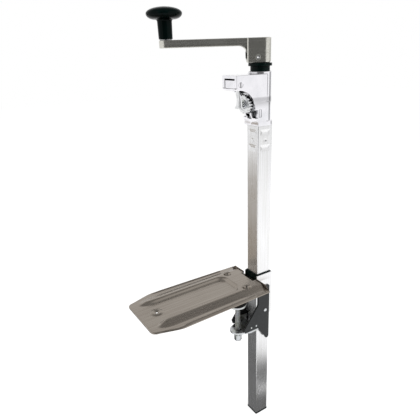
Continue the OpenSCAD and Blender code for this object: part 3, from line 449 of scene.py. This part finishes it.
def soften(bm, radius, angle=38.0, segments=3):
    """Rounds the edges sharper than angle."""
    edges = [edge for edge in bm.edges if edge.is_manifold and edge.calc_face_angle(0.0) > radians(angle)]
    bmesh.ops.bevel(bm, geom=edges, offset=radius, offset_type="OFFSET", segments=segments, profile=0.5,
                    affect="EDGES", clamp_overlap=False, material=-1)


def soft_piece(name, node, radius, cuts=(), **choices):
    """A solid with its edges rounded, in place of the node."""
    bm = solid_copy(node, cuts)
    soften(bm, radius, **choices)
    return place_piece(name, bm, [node], even=True, outward=False)


def soft_pieces(segments, *rows):
    """Several solids with their edges rounded, from rows of a name, a node and the radius in mm."""
    for name, node, radius in rows:
        soft_piece(name, node, radius * MM, segments=segments)


def turned(profile, centre, steps=64, axis="z"):
    """Bmesh spun from (radius, height) points in metres, which end on the axis or close themselves."""
    bm = bmesh.new()
    points = [bm.verts.new((r, 0.0, h)) for r, h in profile]
    edges = [bm.edges.new(pair) for pair in zip(points, points[1:])]
    if profile[0][0] > 0.0 and profile[-1][0] > 0.0:
        edges.append(bm.edges.new((points[-1], points[0])))
    bmesh.ops.spin(bm, geom=points + edges, cent=(0, 0, 0), axis=(0, 0, 1), dvec=(0, 0, 0),
                   angle=2 * pi, steps=steps, use_merge=True)
    bmesh.ops.remove_doubles(bm, verts=bm.verts, dist=1e-7)
    turns = {"x": Matrix.Rotation(pi / 2, 4, "Y"), "y": Matrix.Rotation(-pi / 2, 4, "X"),
             "-y": Matrix.Rotation(pi / 2, 4, "X"), "z": Matrix.Identity(4)}
    bmesh.ops.transform(bm, matrix=Matrix.Translation(centre) @ turns[axis], verts=bm.verts)
    return bm


def joined(parts):
    """One bmesh from several, which are freed."""
    whole = bmesh.new()
    for part in parts:
        scrap = bpy.data.meshes.new("scrap")
        part.to_mesh(scrap)
        part.free()
        whole.from_mesh(scrap)
        bpy.data.meshes.remove(scrap)
    return whole


def arc(start, stop, step):
    """Angles in radians, from whole degrees."""
    return [radians(a) for a in range(start, stop, step)]


def ease(value, start, end):
    """0 before start, 1 after end, and a smooth rise between them."""
    t = min(1.0, max(0.0, (value - start) / (end - start)))
    return t * t * (3.0 - 2.0 * t)


RIVET_SHANK, RIVET_HEAD, RIVET_DOME = 1.55 * MM, 3.0 * MM, 1.2 * MM  # radii, and the head's height


def rivet(centre, axis, shank):
    """Domed rivet that starts at centre and sticks out along axis. shank is its length under the head."""
    dome = [(RIVET_HEAD * cos(t), shank + RIVET_DOME * (0.25 + 0.75 * sin(t))) for t in arc(0, 91, 15)]
    dome[-1] = (0.0, shank + RIVET_DOME)
    return turned([(0.0, 0.0), (RIVET_SHANK, 0.0), (RIVET_SHANK, shank), (RIVET_HEAD - 0.1 * MM, shank),
                   (RIVET_HEAD, shank + 0.1 * RIVET_DOME)] + dome, centre, 32, axis)


# Pressed forms of the base plate
TIP_HALF, BACK_HALF = 42 * MM, 50 * MM  # half widths at the front and the back
SLOPE, CREST = 5.5 * MM, 7 * MM  # run of a rib's inner slope, and from its foot to where the outer one starts
PANEL_CORNER = 9 * MM  # radius of the panel's back corners
DISH = 7 * MM  # radius of a back hole's seat
RING_RISE, RING_CREST, RING_FOOT = 1.4 * MM, 6.2 * MM, 9.8 * MM  # ring round the front hole: height and radii
DIP_HALF, DIP_RUN = 15.6 * MM, 6.5 * MM  # where the deck goes down in front of the socket
BEAD_RISE, BEAD_INSET, BEAD_HALF = 1.3 * MM, 3.2 * MM, 2.6 * MM  # bead along each long edge
LIP, LIP_DROP = 1.6 * MM, 0.8 * MM  # run and drop of the turned-down edge


class CANOPENER_OT_base_plate(bpy.types.Operator):
    """Press the base plate: two ribs, a raised deck, dished holes and a rolled edge"""

    bl_idname = "canopener.base_plate"
    bl_label = "Base Plate"

    front_corner: length("Front corner", "Radius of the front corners", 7 * MM)
    taper: length("Taper", "Length of the tapered front", 42 * MM)

    def half_width(self, x):
        """Half of the plate's width: round front corners, a taper, and a slight narrowing to the back."""
        front, widest = low("base_plate").x, span("base_plate", 1) / 2
        corner, taper = self.front_corner, self.taper
        if x < front + corner:
            bulge = sqrt(max(0.0, corner ** 2 - (front + corner - x) ** 2))
            return TIP_HALF - corner + bulge + (x - front) * 0.2
        if x < front + taper:
            share = (x - front) / taper
            return TIP_HALF + (widest - TIP_HALF) * (0.5 * share + 0.5 * ease(share, 0.0, 1.0))
        return widest - (widest - BACK_HALF) * (x - front - taper) / (self.back - front - taper)

    def section(self, out, side):
        """Share of the rib's height: a quick rise out from the panel, a crest, a long fall to the gutter."""
        return ease(out, 0.0, SLOPE) * (1.0 - ease(side, self.panel + CREST, self.gutter))

    def pressing(self, x, side):
        """Share of the full height of the ribs and the deck, at a distance from the plate's middle line."""
        if x >= self.rib_x:
            # The panel's back corners are round
            over_x, over_y = x - (self.deck_x - PANEL_CORNER), side - (self.panel - PANEL_CORNER)
            return self.section(hypot(max(over_x, 0.0), max(over_y, 0.0)) - PANEL_CORNER, side)
        # A rib's front end is round in plan, so its section is swung about the end of its middle line
        line, half = (self.panel + self.gutter) / 2, (self.gutter - self.panel) / 2
        across, along = (side - line) / half, (self.rib_x - x) / self.rib_fade
        away = hypot(across, along)
        share = 0.5 + 0.5 * across / max(away, 1e-6)
        outer, inner = line + half * away, line - half * away
        return (share * self.section(outer - self.panel, outer)
                + (1.0 - share) * self.section(inner - self.panel, inner))

    def height(self, x, y):
        """Top of the plate's metal."""
        s = sizes()
        front, side, lift = low("base_plate").x, abs(y), s.rib_z - s.flat_z
        z = s.flat_z + lift * self.pressing(x, side)
        for hx, hy in self.back_holes:
            r = hypot(x - hx, y - hy)
            if r < DISH:
                z = min(z, s.flat_z + lift * ease(r, s.hole + 0.5 * MM, DISH))
        # A raised ring stiffens the metal round the front hole
        r = hypot(x + s.front_hole, y)
        if r > RING_CREST:
            fall = ease(r, RING_CREST, RING_FOOT)
        else:
            fall = 0.45 * ease(RING_CREST - r, 0.0, 3 * MM)
        z += RING_RISE * (1.0 - fall)
        if side < DIP_HALF:
            z -= (lift + 0.4 * MM) * ease(x, self.back - DIP_RUN, self.back)
        # A bead runs along each long edge, and every edge is turned down a little
        edge = self.half_width(x)
        starts = ease(x, front + 34 * MM, front + 58 * MM)
        ends = ease(x, self.back - 26 * MM, self.back - 24 * MM)
        z += BEAD_RISE * (starts * (1.0 - ends)) * (1.0 - ease(abs(side - edge + BEAD_INSET), 0.0, BEAD_HALF))
        return z - LIP_DROP * max(ease(side, edge - LIP, edge), ease(front + LIP - x, 0.0, LIP))

    def execute(self, context):
        s = sizes()
        front = low("base_plate").x
        self.back = low("socket_sleeve").x - 2 * MM
        # Foot of a rib's inner and outer slope, where its straight part ends, how far its front end runs on
        # from there, and where the deck starts
        self.panel, self.gutter = s.panel_half, s.panel_half + s.rib_width - 2 * MM
        self.rib_x, self.rib_fade = front + 38 * MM, 27 * MM
        self.deck_x = self.back - 38 * MM
        self.back_holes = [(0.0, side * s.hole_gap) for side in (-1, 1)]
        holes = self.back_holes + [(-s.front_hole, 0.0)]
        bm = self.grid()
        for hx, hy in holes:
            self.ring_up(bm, hx, hy, s.hole)
        for vert in bm.verts:
            vert.co.z = self.height(vert.co.x, vert.co.y) - s.sheet
        bmesh.ops.solidify(bm, geom=bm.faces[:], thickness=s.sheet)
        for hx, hy in holes:
            self.draw_down(bm, hx, hy)
        tab = solid_copy("base_plate")
        cut_plane(tab, (self.back - 0.05 * MM, 0, 0), (1, 0, 0), clear_inner=True)
        close_holes(tab)
        soften(tab, 0.3 * MM)
        place_piece("pressed_plate", joined([bm, tab]), ["base_plate"], crease=75.0)
        return {"FINISHED"}

    def grid(self):
        """Flat grid in the plate's outline. Its lines run along the ribs, and the outer ones taper."""
        front = low("base_plate").x
        reach, widest = self.back - front, span("base_plate", 1) / 2
        bm = bmesh.new()
        bmesh.ops.create_grid(bm, x_segments=int(reach / MM), y_segments=200, size=0.5)
        for vert in bm.verts:
            x = front + (vert.co.x + 0.5) * reach
            side, edge = abs(vert.co.y) * 2.0 * widest, self.half_width(x)
            inner = min(self.gutter - 6 * MM, edge - 3 * MM)
            if side > inner:
                side = inner + (side - inner) * (edge - inner) / (widest - inner)
            vert.co = (x, copysign(side, vert.co.y), 0.0)
        return bm

    def ring_up(self, bm, hx, hy, radius):
        """Turns the flat grid's squares round a hole into rings, and opens the hole."""
        edge, outer, centre = radius * 1.02, 11 * MM, Vector((hx, hy, 0.0))
        for vert in bm.verts:
            d = vert.co - centre
            far = max(abs(d.x), abs(d.y))
            if 0.0 < far < outer:
                share = ease(far, edge, outer)
                scale = far / d.length
                vert.co = centre + d * (scale + (1.0 - scale) * share)
        gone = [face for face in bm.faces if (face.calc_center_median() - centre).length < radius]
        bmesh.ops.delete(bm, geom=gone, context="FACES")
        for vert in bm.verts:
            d = vert.co - centre
            if vert.is_boundary and d.length < radius + 1.5 * MM:
                vert.co = centre + d.normalized() * radius

    def draw_down(self, bm, hx, hy):
        """Draws a hole's edge down into a short collar that narrows and reaches the table."""
        s = sizes()
        for vert in bm.verts:
            away = hypot(vert.co.x - hx, vert.co.y - hy)
            if away < s.hole + 0.3 * MM:
                share = s.hole / away
                if vert.co.z < s.flat_z - 0.3 * s.sheet:
                    share *= 0.5
                    vert.co.z = 0.05 * MM
                vert.co.x, vert.co.y = hx + (vert.co.x - hx) * share, hy + (vert.co.y - hy) * share


class CANOPENER_OT_socket(bpy.types.Operator):
    """Form the socket: sleeve, liners, leaf spring and its rivets"""

    bl_idname = "canopener.socket"
    bl_label = "Socket"

    def execute(self, context):
        soft_pieces(3, ("socket_wrap", "socket_sleeve", 0.35), ("upper_guide", "upper_liner", 0.3),
                    ("lower_guide", "lower_liner", 0.3))
        soft_pieces(2, ("leaf_spring", "friction_spring", 0.12))
        x, shank = high("socket_sleeve").x, 2.1 * MM
        lowest, highest = (round(end("spring_rivets").z / MM) * MM for end in (low, high))
        heads = [rivet((x - shank, 0.0, z), "x", shank) for z in (lowest + RIVET_HEAD, highest - RIVET_HEAD)]
        place_piece("spring_rivet_heads", joined(heads), ["spring_rivets"])
        return {"FINISHED"}


class CANOPENER_OT_bracket(bpy.types.Operator):
    """Form the bracket under the table: cheeks, rivets, clamp arm, its screws and the nut"""

    bl_idname = "canopener.bracket"
    bl_label = "Clamp Bracket"

    def execute(self, context):
        soft_pieces(3, ("near_side_plate", "near_cheek", 0.5), ("far_side_plate", "far_cheek", 0.5),
                    ("clamp_bridge", "clamp_arm", 0.5), ("clamp_bridge_screws", "arm_screws", 0.2),
                    ("clamp_hex_nut", "clamp_nut", 0.4))
        x, shank = middle("socket_sleeve").x, 4.4 * MM
        inner = high("cheek_rivets").y - RIVET_DOME - shank
        levels = (-22 * MM, -56 * MM)
        heads = [rivet((x, side * inner, z), axis, shank)
                 for z in levels for side, axis in ((1, "y"), (-1, "-y"))]
        place_piece("bracket_rivets", joined(heads), ["cheek_rivets"])
        return {"FINISHED"}


class CANOPENER_OT_clamp_screw(bpy.types.Operator):
    """Cut the clamp screw with its thread, and make the pad with its rubber face"""

    bl_idname = "canopener.clamp_screw"
    bl_label = "Clamp Screw"

    def thread(self, root, crest, start, turns):
        """Thread from its radii, the level where it starts and its number of turns."""
        pitch, steps = sizes().thread_pitch, 28
        bm = bmesh.new()
        points = [bm.verts.new((r, 0.0, start + share * pitch)) for r, share in (
            (root, 0.0), (root, 0.12), (crest, 0.45), (crest, 0.57), (root, 1.0))]
        edges = [bm.edges.new(pair) for pair in zip(points, points[1:])]
        bmesh.ops.spin(bm, geom=points + edges, cent=(0, 0, 0), axis=(0, 0, 1), dvec=(0, 0, pitch / steps),
                       angle=2 * pi * turns, steps=steps * turns, use_merge=False)
        bmesh.ops.remove_doubles(bm, verts=bm.verts, dist=1e-6)
        close_holes(bm)
        return bm

    def execute(self, context):
        pitch = sizes().thread_pitch
        x, foot = middle("clamp_screw").x, low("clamp_screw").z
        across, crest = 11 * MM, 4.0 * MM  # the hexagon's height and width, and the thread's radius
        root = crest - 0.62 * pitch
        head_top, end = foot + across, low("clamp_pad").z - 0.3 * MM
        turns = int((end - head_top) / pitch) - 1
        bm = self.thread(root, crest, end - (turns + 1) * pitch, turns)
        bmesh.ops.translate(bm, vec=(x, 0, 0), verts=bm.verts)
        shaft, tip_r, tip = root - 0.02 * MM, 2.65 * MM, end + 2.2 * MM
        core = turned([(0.0, head_top - 1 * MM), (shaft, head_top - 1 * MM), (shaft, end - 0.3 * MM),
                       (root - 0.4 * MM, end), (tip_r, end), (tip_r, tip), (0.0, tip)], (x, 0, 0), 48)
        head = bmesh.new()
        bmesh.ops.create_cone(head, cap_ends=True, segments=6, radius1=across / sqrt(3),
                              radius2=across / sqrt(3), depth=across,
                              matrix=Matrix.Translation((x, 0, foot + across / 2)))
        soften(head, 0.5 * MM)
        collar = turned([(0.0, head_top - 0.3 * MM), (5.4 * MM, head_top - 0.3 * MM),
                         (5.1 * MM, head_top), (0.0, head_top)], (x, 0, 0), 48)
        place_piece("threaded_clamp_screw", joined([bm, core, head, collar]), ["clamp_screw"], crease=35.0)
        soft_piece("pad_cup", "clamp_pad", 0.6 * MM)
        back, face = low("pad_rubber").z, high("pad_rubber").z
        outline = [(0.0, back), (13.5 * MM, back), (13.5 * MM, face - 0.4 * MM), (13.1 * MM, face)]
        for r in (11.0, 7.5, 4.0):
            outline += [(r * MM, face), ((r - 0.4) * MM, face - 0.5 * MM),
                        ((r - 1.0) * MM, face - 0.5 * MM), ((r - 1.4) * MM, face)]
        outline.append((0.0, face))
        place_piece("ringed_pad_face", turned(outline, (x, 0, 0), 64), ["pad_rubber"])
        return {"FINISHED"}


MARK_REACH, MARK_HALF = 17 * MM, 9.5 * MM  # half height and half width of the field of pressed marks


class CANOPENER_OT_post(bpy.types.Operator):
    """Draw the square post with its pressed locking marks, and mould its end cap"""

    bl_idname = "canopener.post"
    bl_label = "Post"

    def pressed(self, u, z):
        """Depth of the pressed marks at a place on a face, as a share of the full depth."""
        share = 1.0 - ease(hypot(u, z - self.mark), 0.8 * MM, 3.0 * MM)
        wide, tall, corner, wall = 9.0 * MM, 5.0 * MM, 2.4 * MM, 4.4 * MM  # the oblong marks' half sizes
        for centre in (self.mark + 10.5 * MM, self.mark - 10.5 * MM):
            dx, dz = abs(u) - wide + corner, abs(z - centre) - tall + corner
            inside = corner - hypot(max(dx, 0.0), max(dz, 0.0)) - min(max(dx, dz), 0.0)
            share = max(share, ease(inside, 0.0, wall))
        return share

    def execute(self, context):
        s = sizes()
        corner, top = BOX["post_tube"]
        cx, half = middle("post_tube").x, span("post_tube", 0) / 2
        self.mark = top.z - 20.5 * MM
        fine, step = 68, 0.5 * MM
        levels = [corner.z, corner.z + 60 * MM, 0.0, self.mark - 60 * MM, self.mark - MARK_REACH]
        levels += [self.mark - MARK_REACH + (i + 1) * step for i in range(fine)]
        levels.append(top.z)
        bm = bmesh.new()
        bmesh.ops.create_grid(bm, x_segments=1, y_segments=1, size=half)
        bmesh.ops.delete(bm, geom=bm.faces[:], context="FACES_ONLY")
        bmesh.ops.bevel(bm, geom=bm.verts[:], offset=1.3 * MM, offset_type="OFFSET", segments=5, profile=0.5,
                        affect="VERTICES", material=-1)
        flats = [e for e in bm.edges if e.calc_length() > half]
        bmesh.ops.subdivide_edges(bm, edges=flats, cuts=44)
        bmesh.ops.translate(bm, vec=(cx, 0, levels[0]), verts=bm.verts)
        ring = bm.edges[:]
        for below, above in zip(levels, levels[1:]):
            grown = bmesh.ops.extrude_edge_only(bm, edges=ring)["geom"]
            verts = [g for g in grown if isinstance(g, bmesh.types.BMVert)]
            ring = [g for g in grown if isinstance(g, bmesh.types.BMEdge)]
            bmesh.ops.translate(bm, vec=(0, 0, above - below), verts=verts)
        for vert in bm.verts:
            dx, dy = vert.co.x - cx, vert.co.y
            if abs(vert.co.z - self.mark) > MARK_REACH:
                continue
            if abs(abs(dx) - half) < 1e-6 and abs(dy) < MARK_HALF:
                vert.co.x -= copysign(s.mark_depth * self.pressed(dy, vert.co.z), dx)
            elif abs(abs(dy) - half) < 1e-6 and abs(dx) < MARK_HALF:
                vert.co.y -= copysign(s.mark_depth * self.pressed(dx, vert.co.z), dy)
        bmesh.ops.recalc_face_normals(bm, faces=bm.faces)
        bmesh.ops.solidify(bm, geom=bm.faces[:], thickness=1.6 * MM)
        place_piece("square_post", bm, ["post_tube"], crease=45.0)
        soft_piece("post_foot_cap", "post_end_cap", 0.7 * MM)
        return {"FINISHED"}


class CANOPENER_OT_head(bpy.types.Operator):
    """Cast and plate the head, and fit its bush, cartridge and screws"""

    bl_idname = "canopener.head"
    bl_label = "Head"

    def execute(self, context):
        post, wheel, screw = middle("post_tube"), middle("feed_wheel"), middle("cartridge_screw")
        cuts = [(post, (1, 0, 0)), (wheel, (0, 0, 1)), (screw, (1, 0, 0)), (screw, (0, 0, 1))]
        head = soft_piece("plated_head", "head_casting", 0.6 * MM, cuts, angle=40.0)
        # The waist starts at a crisp line on each side, and its slope fades out below
        waist = high("head_casting").z - WAIST_DROP
        for edge in head.data.edges:
            ends = [head.data.vertices[i].co for i in edge.vertices]
            if all(abs(end.z - waist) < 0.1 * MM for end in ends):
                edge.use_edge_sharp = True
        soft_pieces(3, ("shaft_bush", "head_bush", 0.4))
        soft_pieces(2, ("bush_grub_screw", "bush_screw", 0.15))
        soft_piece("blade_holder", "blade_cartridge", sizes().edge, [(screw, (1, 0, 0))])
        soft_pieces(2, ("holder_screw", "cartridge_screw", 0.25))
        return {"FINISHED"}


class CANOPENER_OT_cutting(bpy.types.Operator):
    """Grind the blade and the toothed feed wheel, with their screws and carrier"""

    bl_idname = "canopener.cutting"
    bl_label = "Cutting Parts"

    def execute(self, context):
        soft_pieces(3, ("curved_blade", "blade", 0.3))
        soft_pieces(2, ("blade_clamp_screws", "blade_screws", 0.25))
        soft_pieces(3, ("wheel_block", "wheel_carrier", 0.4))
        soft_pieces(2, ("block_screw", "carrier_screw", 0.2), ("toothed_wheel", "feed_wheel", 0.22))
        front, z = low("feed_wheel").x, middle("feed_wheel").z
        flush, eased = front + 0.05 * MM, front + 0.3 * MM
        # Cup washer that fills the wheel's counterbore, and a socket screw sunk flush in its middle
        back = high("wheel_washer").x
        cup = [(3.3 * MM, back), (5.6 * MM, back), (5.7 * MM, eased), (5.4 * MM, flush),
               (3.6 * MM, flush), (3.4 * MM, eased)]
        end = high("wheel_screw").x
        screw = [(0.0, front + 1.2 * MM), (1.1 * MM, front + 1.2 * MM), (1.1 * MM, front + 0.1 * MM),
                 (2.1 * MM, flush), (2.4 * MM, eased), (2.4 * MM, end - 0.5 * MM), (2.0 * MM, end),
                 (0.0, end)]
        for name, node, outline, at in (("wheel_cup_washer", "wheel_washer", cup, back),
                                        ("wheel_socket_screw", "wheel_screw", screw, end)):
            bm = turned([(r, h - at) for r, h in outline], (at, 0.0, z), 64, "x")
            place_piece(name, bm, [node], crease=40.0)
        return {"FINISHED"}


class CANOPENER_OT_drive(bpy.types.Operator):
    """Turn the shafts, gears, bushes and pins inside the head"""

    bl_idname = "canopener.drive"
    bl_label = "Drive"

    def execute(self, context):
        soft_pieces(3, ("upright_shaft", "drive_shaft", 0.3))
        soft_pieces(2, ("spur_pinion", "drive_pinion", 0.15), ("crown_gear", "face_gear", 0.15),
                    ("axle", "wheel_shaft", 0.25), ("bronze_bearings", "axle_bush", 0.2),
                    ("retaining_washer", "thrust_washer", 0.2), ("pinion_dowel", "pinion_pin", 0.1),
                    ("gear_dowel", "gear_pin", 0.1))
        return {"FINISHED"}


class CANOPENER_OT_crank(bpy.types.Operator):
    """Cast the crank, and fit its spring pin, spindle and washer"""

    bl_idname = "canopener.crank"
    bl_label = "Crank"

    def execute(self, context):
        along = (cos(CRANK_TURN), sin(CRANK_TURN), 0.0)
        cuts = [(middle("cross_pin"), along), (middle("knob_spindle"), along)]
        soft_piece("cast_crank", "crank_arm", sizes().cast_edge, cuts)
        soft_pieces(2, ("spring_pin", "cross_pin", 0.2))
        soft_pieces(3, ("knob_pivot", "knob_spindle", 0.4))
        soft_pieces(2, ("knob_thrust_washer", "knob_washer", 0.15))
        return {"FINISHED"}


class CANOPENER_OT_knob(bpy.types.Operator):
    """Mould the mushroom knob and the cap over its pivot"""

    bl_idname = "canopener.knob"
    bl_label = "Knob"

    def execute(self, context):
        at, rim = middle("knob"), span("knob", 0) / 2
        place = (at.x, at.y, 0)
        foot, crown = low("knob").z, high("knob_cap").z
        # Height of the wide top, and radius where its underside starts. The stem under it flares a little,
        # and goes over into it with a fillet that is so wide and so high
        mushroom, neck = 14.6 * MM, 12.1 * MM
        stem, flare, fillet, rise = 9.0 * MM, 0.45 * MM, 2.6 * MM, 2.4 * MM
        under = crown - mushroom
        widest = under + mushroom * 0.47
        bore, well, well_z = 4.05 * MM, 8.0 * MM, high("knob_spindle").z - 3.3 * MM

        def dome(r):
            return widest + (crown - widest) * sqrt(max(0.0, 1.0 - (r / rim) ** 2))

        outline = [(bore, foot), (stem - 0.4 * MM, foot), (stem, foot + 0.4 * MM)]
        outline += [(stem + flare * i / 8, foot + 0.5 * MM + i / 8 * (under - foot - 3 * MM)) for i in range(9)]
        outline += [(neck - fillet * cos(t), under - rise * (1 - sin(t))) for t in arc(15, 91, 15)]
        outline += [(neck + (rim - neck) * sin(t), under + (widest - under) * (1 - cos(t)))
                    for t in arc(6, 91, 6)]
        outline += [(rim * cos(t), widest + (crown - widest) * sin(t)) for t in arc(6, 67, 6)]
        outline += [(well + 0.6 * MM, dome(well + 0.6 * MM)), (well + 0.1 * MM, dome(well) - 0.25 * MM),
                    (well, dome(well) - 0.8 * MM), (well, well_z), (bore, well_z)]
        place_piece("mushroom_knob", turned(outline, place, 96), ["knob"], crease=40.0)
        floor, r = low("knob_cap").z, well - 0.06 * MM
        lid = [(0.0, floor), (r, floor), (r, dome(r) - 0.7 * MM), (r - 0.12 * MM, dome(r) - 0.25 * MM),
               (r - 0.6 * MM, dome(r - 0.6 * MM))]
        lid += [(r * k, dome(r * k)) for k in (0.8, 0.65, 0.5, 0.35, 0.2, 0.1)]
        lid.append((0.0, crown))
        place_piece("knob_lid", turned(lid, place, 64), ["knob_cap"], crease=40.0)
        return {"FINISHED"}


CARD_SPHERE = 1.24  # radius in metres of the sphere that the dome cards are cut from


class CANOPENER_OT_studio(bpy.types.Operator):
    """Set the floor, world, lamps and camera"""

    bl_idname = "canopener.studio"
    bl_label = "Studio"

    def execute(self, context):
        self.floor()
        self.cards()
        self.world(context.scene)
        self.lamps(context.scene)
        self.camera(context.scene)
        return {"FINISHED"}

    def seen(self, tree):
        """1 for the rays that show the background: the camera's own and those off gloss and through glass."""
        share = add_node(tree, "LightPath", out="Is Camera Ray")
        for kind in ("Is Glossy Ray", "Is Transmission Ray"):
            other = add_node(tree, "LightPath", out=kind)
            share = add_node(tree, "Math", {0: share, 1: other}, operation="MAXIMUM")
        return share

    def stand(self, name, bm, surface):
        """Adds a studio object from the bmesh, with a material of its own; it is not attached to a body of the
        can opener.
        """
        thing = make_object(name, bm, new_material(name, surface))
        return thing

    def floor(self):
        """White where it is seen, and grey to the light that it throws back."""
        bm = bmesh.new()
        bmesh.ops.create_grid(bm, x_segments=1, y_segments=1, size=6.0,
                              matrix=Matrix.Translation((0, 0, solid_bounds[0][2] - 0.2 * MM)))

        def surface(tree):
            matt = add_node(tree, "BsdfDiffuse", {"Color": linear("a0a0a0")})
            glow = add_node(tree, "Emission", {"Color": (1, 1, 1, 1), "Strength": 0.81})
            lit = add_node(tree, "AddShader", {0: matt, 1: glow})
            return add_node(tree, "MixShader", {0: self.seen(tree), 1: matt, 2: lit})

        self.stand("floor", bm, surface)

    def cards(self):
        """Soft-edged dark cards that only the gloss of the metal sees, to give its faces their tones.

        Each row: name, centre, reach along and across, turn about +Z, width of the soft edge as a share of
        the reach, brightness, and a colour other than white. A card with no turn is a dome: a piece of a
        sphere round the object, in the direction of its centre."""
        low_z = solid_bounds[0][2] + 1.5 * MM
        for row in (("card_bench", (-0.229, 0.331, -1 * MM), (0.46, 0.085), 128.0, 0.1, 0.36, "fff0dd"),
                    ("card_under", (-0.10, 0.24, low_z), (0.36, 0.2), 123.0, 0.12, 0.16),
                    ("card_blade", (-0.44, 1.11, 0.15), (0.17, 0.17), None, 0.4, 0.06),
                    ("card_foot", (0.06, -0.03, low_z), (0.15, 0.17), -57.0, 0.3, 0.2),
                    ("card_front", (-0.54, -0.80, 0.26), (0.81, 0.81), None, 0.18, 0.15),
                    ("card_side", (1.2, -0.2, 0.16), (0.36, 0.36), None, 0.5, 0.3),
                    ("card_roof", (0.0, 0.0, 1.0), (1.3, 1.3), 0.0, 0.6, 0.4)):
            self.card(*row)

    def card(self, name, centre, reach, turn, edge, strength, code="ffffff"):
        bm = bmesh.new()
        if turn is None:
            margin = 0.15
            at, turn = Vector(centre).normalized() * CARD_SPHERE, 0.0
            bmesh.ops.create_uvsphere(bm, u_segments=48, v_segments=24, radius=CARD_SPHERE)
            far = [v for v in bm.verts if (v.co - at).length > reach[0] + margin]
            bmesh.ops.delete(bm, geom=far, context="VERTS")
        else:
            at, turn = Vector(centre), radians(turn)
            bmesh.ops.create_grid(bm, x_segments=1, y_segments=1, size=1.0)
            bmesh.ops.scale(bm, vec=(reach[0], reach[1], 1.0), verts=bm.verts)
            bmesh.ops.transform(bm, matrix=Matrix.Translation(at) @ Matrix.Rotation(turn, 4, "Z"),
                                verts=bm.verts)

        def surface(tree):
            place = add_node(tree, "TexCoord", out="Object")
            own = add_node(tree, "Mapping", {
                "Vector": place, "Location": at, "Rotation": (0.0, 0.0, turn),
                "Scale": (reach[0], reach[1], reach[0])}, vector_type="TEXTURE")
            fall = add_node(tree, "TexGradient", {0: own}, out="Fac", gradient_type="SPHERICAL")
            share = add_node(tree, "MapRange", ramp(fall, 0.0, edge), interpolation_type="SMOOTHSTEP")
            clear = add_node(tree, "BsdfTransparent")
            grey = add_node(tree, "Emission", {"Color": linear(code), "Strength": strength})
            return add_node(tree, "MixShader", {0: share, 1: clear, 2: grey})

        card = self.stand(name, bm, surface)
        for ray in ("camera", "diffuse", "shadow", "transmission"):
            setattr(card, "visible_" + ray, False)

    def world(self, scene):
        """A white surround where it is seen, which lights the object at about half of that."""
        world = bpy.data.worlds.new("studio")
        world.use_nodes = True
        tree = world.node_tree
        tree.nodes.clear()
        dim, white = (add_node(tree, "Background", {"Color": (1, 1, 1, 1), "Strength": strength})
                      for strength in (0.55, 1.0))
        mix = add_node(tree, "MixShader", {0: self.seen(tree), 1: dim, 2: white})
        add_node(tree, "OutputWorld", {"Surface": mix})
        scene.world = world

    def lamps(self, scene):
        aim = Vector((0.0, 0.0, 0.05))
        for name, place, size, power in (("key", (0.75, -1.05, 1.05), 0.9, 22.0),
                                         ("fill", (-1.3, -0.5, 0.9), 1.2, 8.0)):
            light = bpy.data.lights.new(name, "AREA")
            light.shape = "SQUARE"
            light.size = size
            light.energy = power
            lamp = bpy.data.objects.new(name, light)
            lamp.location = place
            lamp.rotation_euler = (aim - Vector(place)).to_track_quat("-Z", "Y").to_euler()
            lamp.visible_glossy = False
            scene.collection.objects.link(lamp)

    def camera(self, scene):
        yaw, pitch, roll = radians(56.85), radians(-23.36), radians(-1.76)
        forward = Vector((cos(pitch) * cos(yaw), cos(pitch) * sin(yaw), sin(pitch)))
        right = Vector((sin(yaw), -cos(yaw), 0.0))
        up = right.cross(forward)
        tilted = right * cos(roll) + up * sin(roll)
        upright = up * cos(roll) - right * sin(roll)
        data = bpy.data.cameras.new("camera")
        data.sensor_width = 36.0
        data.lens = 36.01
        data.shift_x = -0.0243
        data.shift_y = 0.0581
        data.clip_end = 20.0
        camera = bpy.data.objects.new("camera", data)
        turn = Matrix((tilted, upright, -forward)).transposed()
        camera.matrix_world = Matrix.Translation((-333.0 * MM, -466.9 * MM, 331.7 * MM)) @ turn.to_4x4()
        scene.collection.objects.link(camera)
        scene.camera = camera
        scene.view_settings.view_transform = "Standard"


STEPS = (CANOPENER_OT_base_plate, CANOPENER_OT_socket, CANOPENER_OT_bracket, CANOPENER_OT_clamp_screw,
         CANOPENER_OT_post, CANOPENER_OT_head, CANOPENER_OT_cutting, CANOPENER_OT_drive, CANOPENER_OT_crank,
         CANOPENER_OT_knob, CANOPENER_OT_studio)


class CANOPENER_PT_panel(bpy.types.Panel):
    """Lists the pieces, sizes and colours of the can opener"""

    bl_idname = "CANOPENER_PT_panel"
    bl_label = "Can Opener"
    bl_space_type = "VIEW_3D"
    bl_region_type = "UI"
    bl_category = "Can Opener"

    def draw(self, context):
        column = self.layout.column(align=True)
        for step in STEPS:
            column.operator(step.bl_idname, text=step.bl_label)
        for group in (sizes(), colours()):
            box = self.layout.box().column(align=True)
            for prop in group.bl_rna.properties:
                if prop.identifier not in {"rna_type", "name"}:
                    box.prop(group, prop.identifier)


CLASSES = (CanOpenerSizes, CanOpenerColours, *STEPS, CANOPENER_PT_panel)


def register():
    for cls in CLASSES:
        bpy.utils.register_class(cls)
    bpy.types.Scene.can_opener_sizes = bpy.props.PointerProperty(type=CanOpenerSizes)
    bpy.types.Scene.can_opener_colours = bpy.props.PointerProperty(type=CanOpenerColours)


def unregister():
    del bpy.types.Scene.can_opener_colours
    del bpy.types.Scene.can_opener_sizes
    for cls in reversed(CLASSES):
        bpy.utils.unregister_class(cls)


def main():
    register()
    for step in STEPS:
        group, name = step.bl_idname.split(".")
        getattr(getattr(bpy.ops, group), name)()


if __name__ == "__main__":
    main()
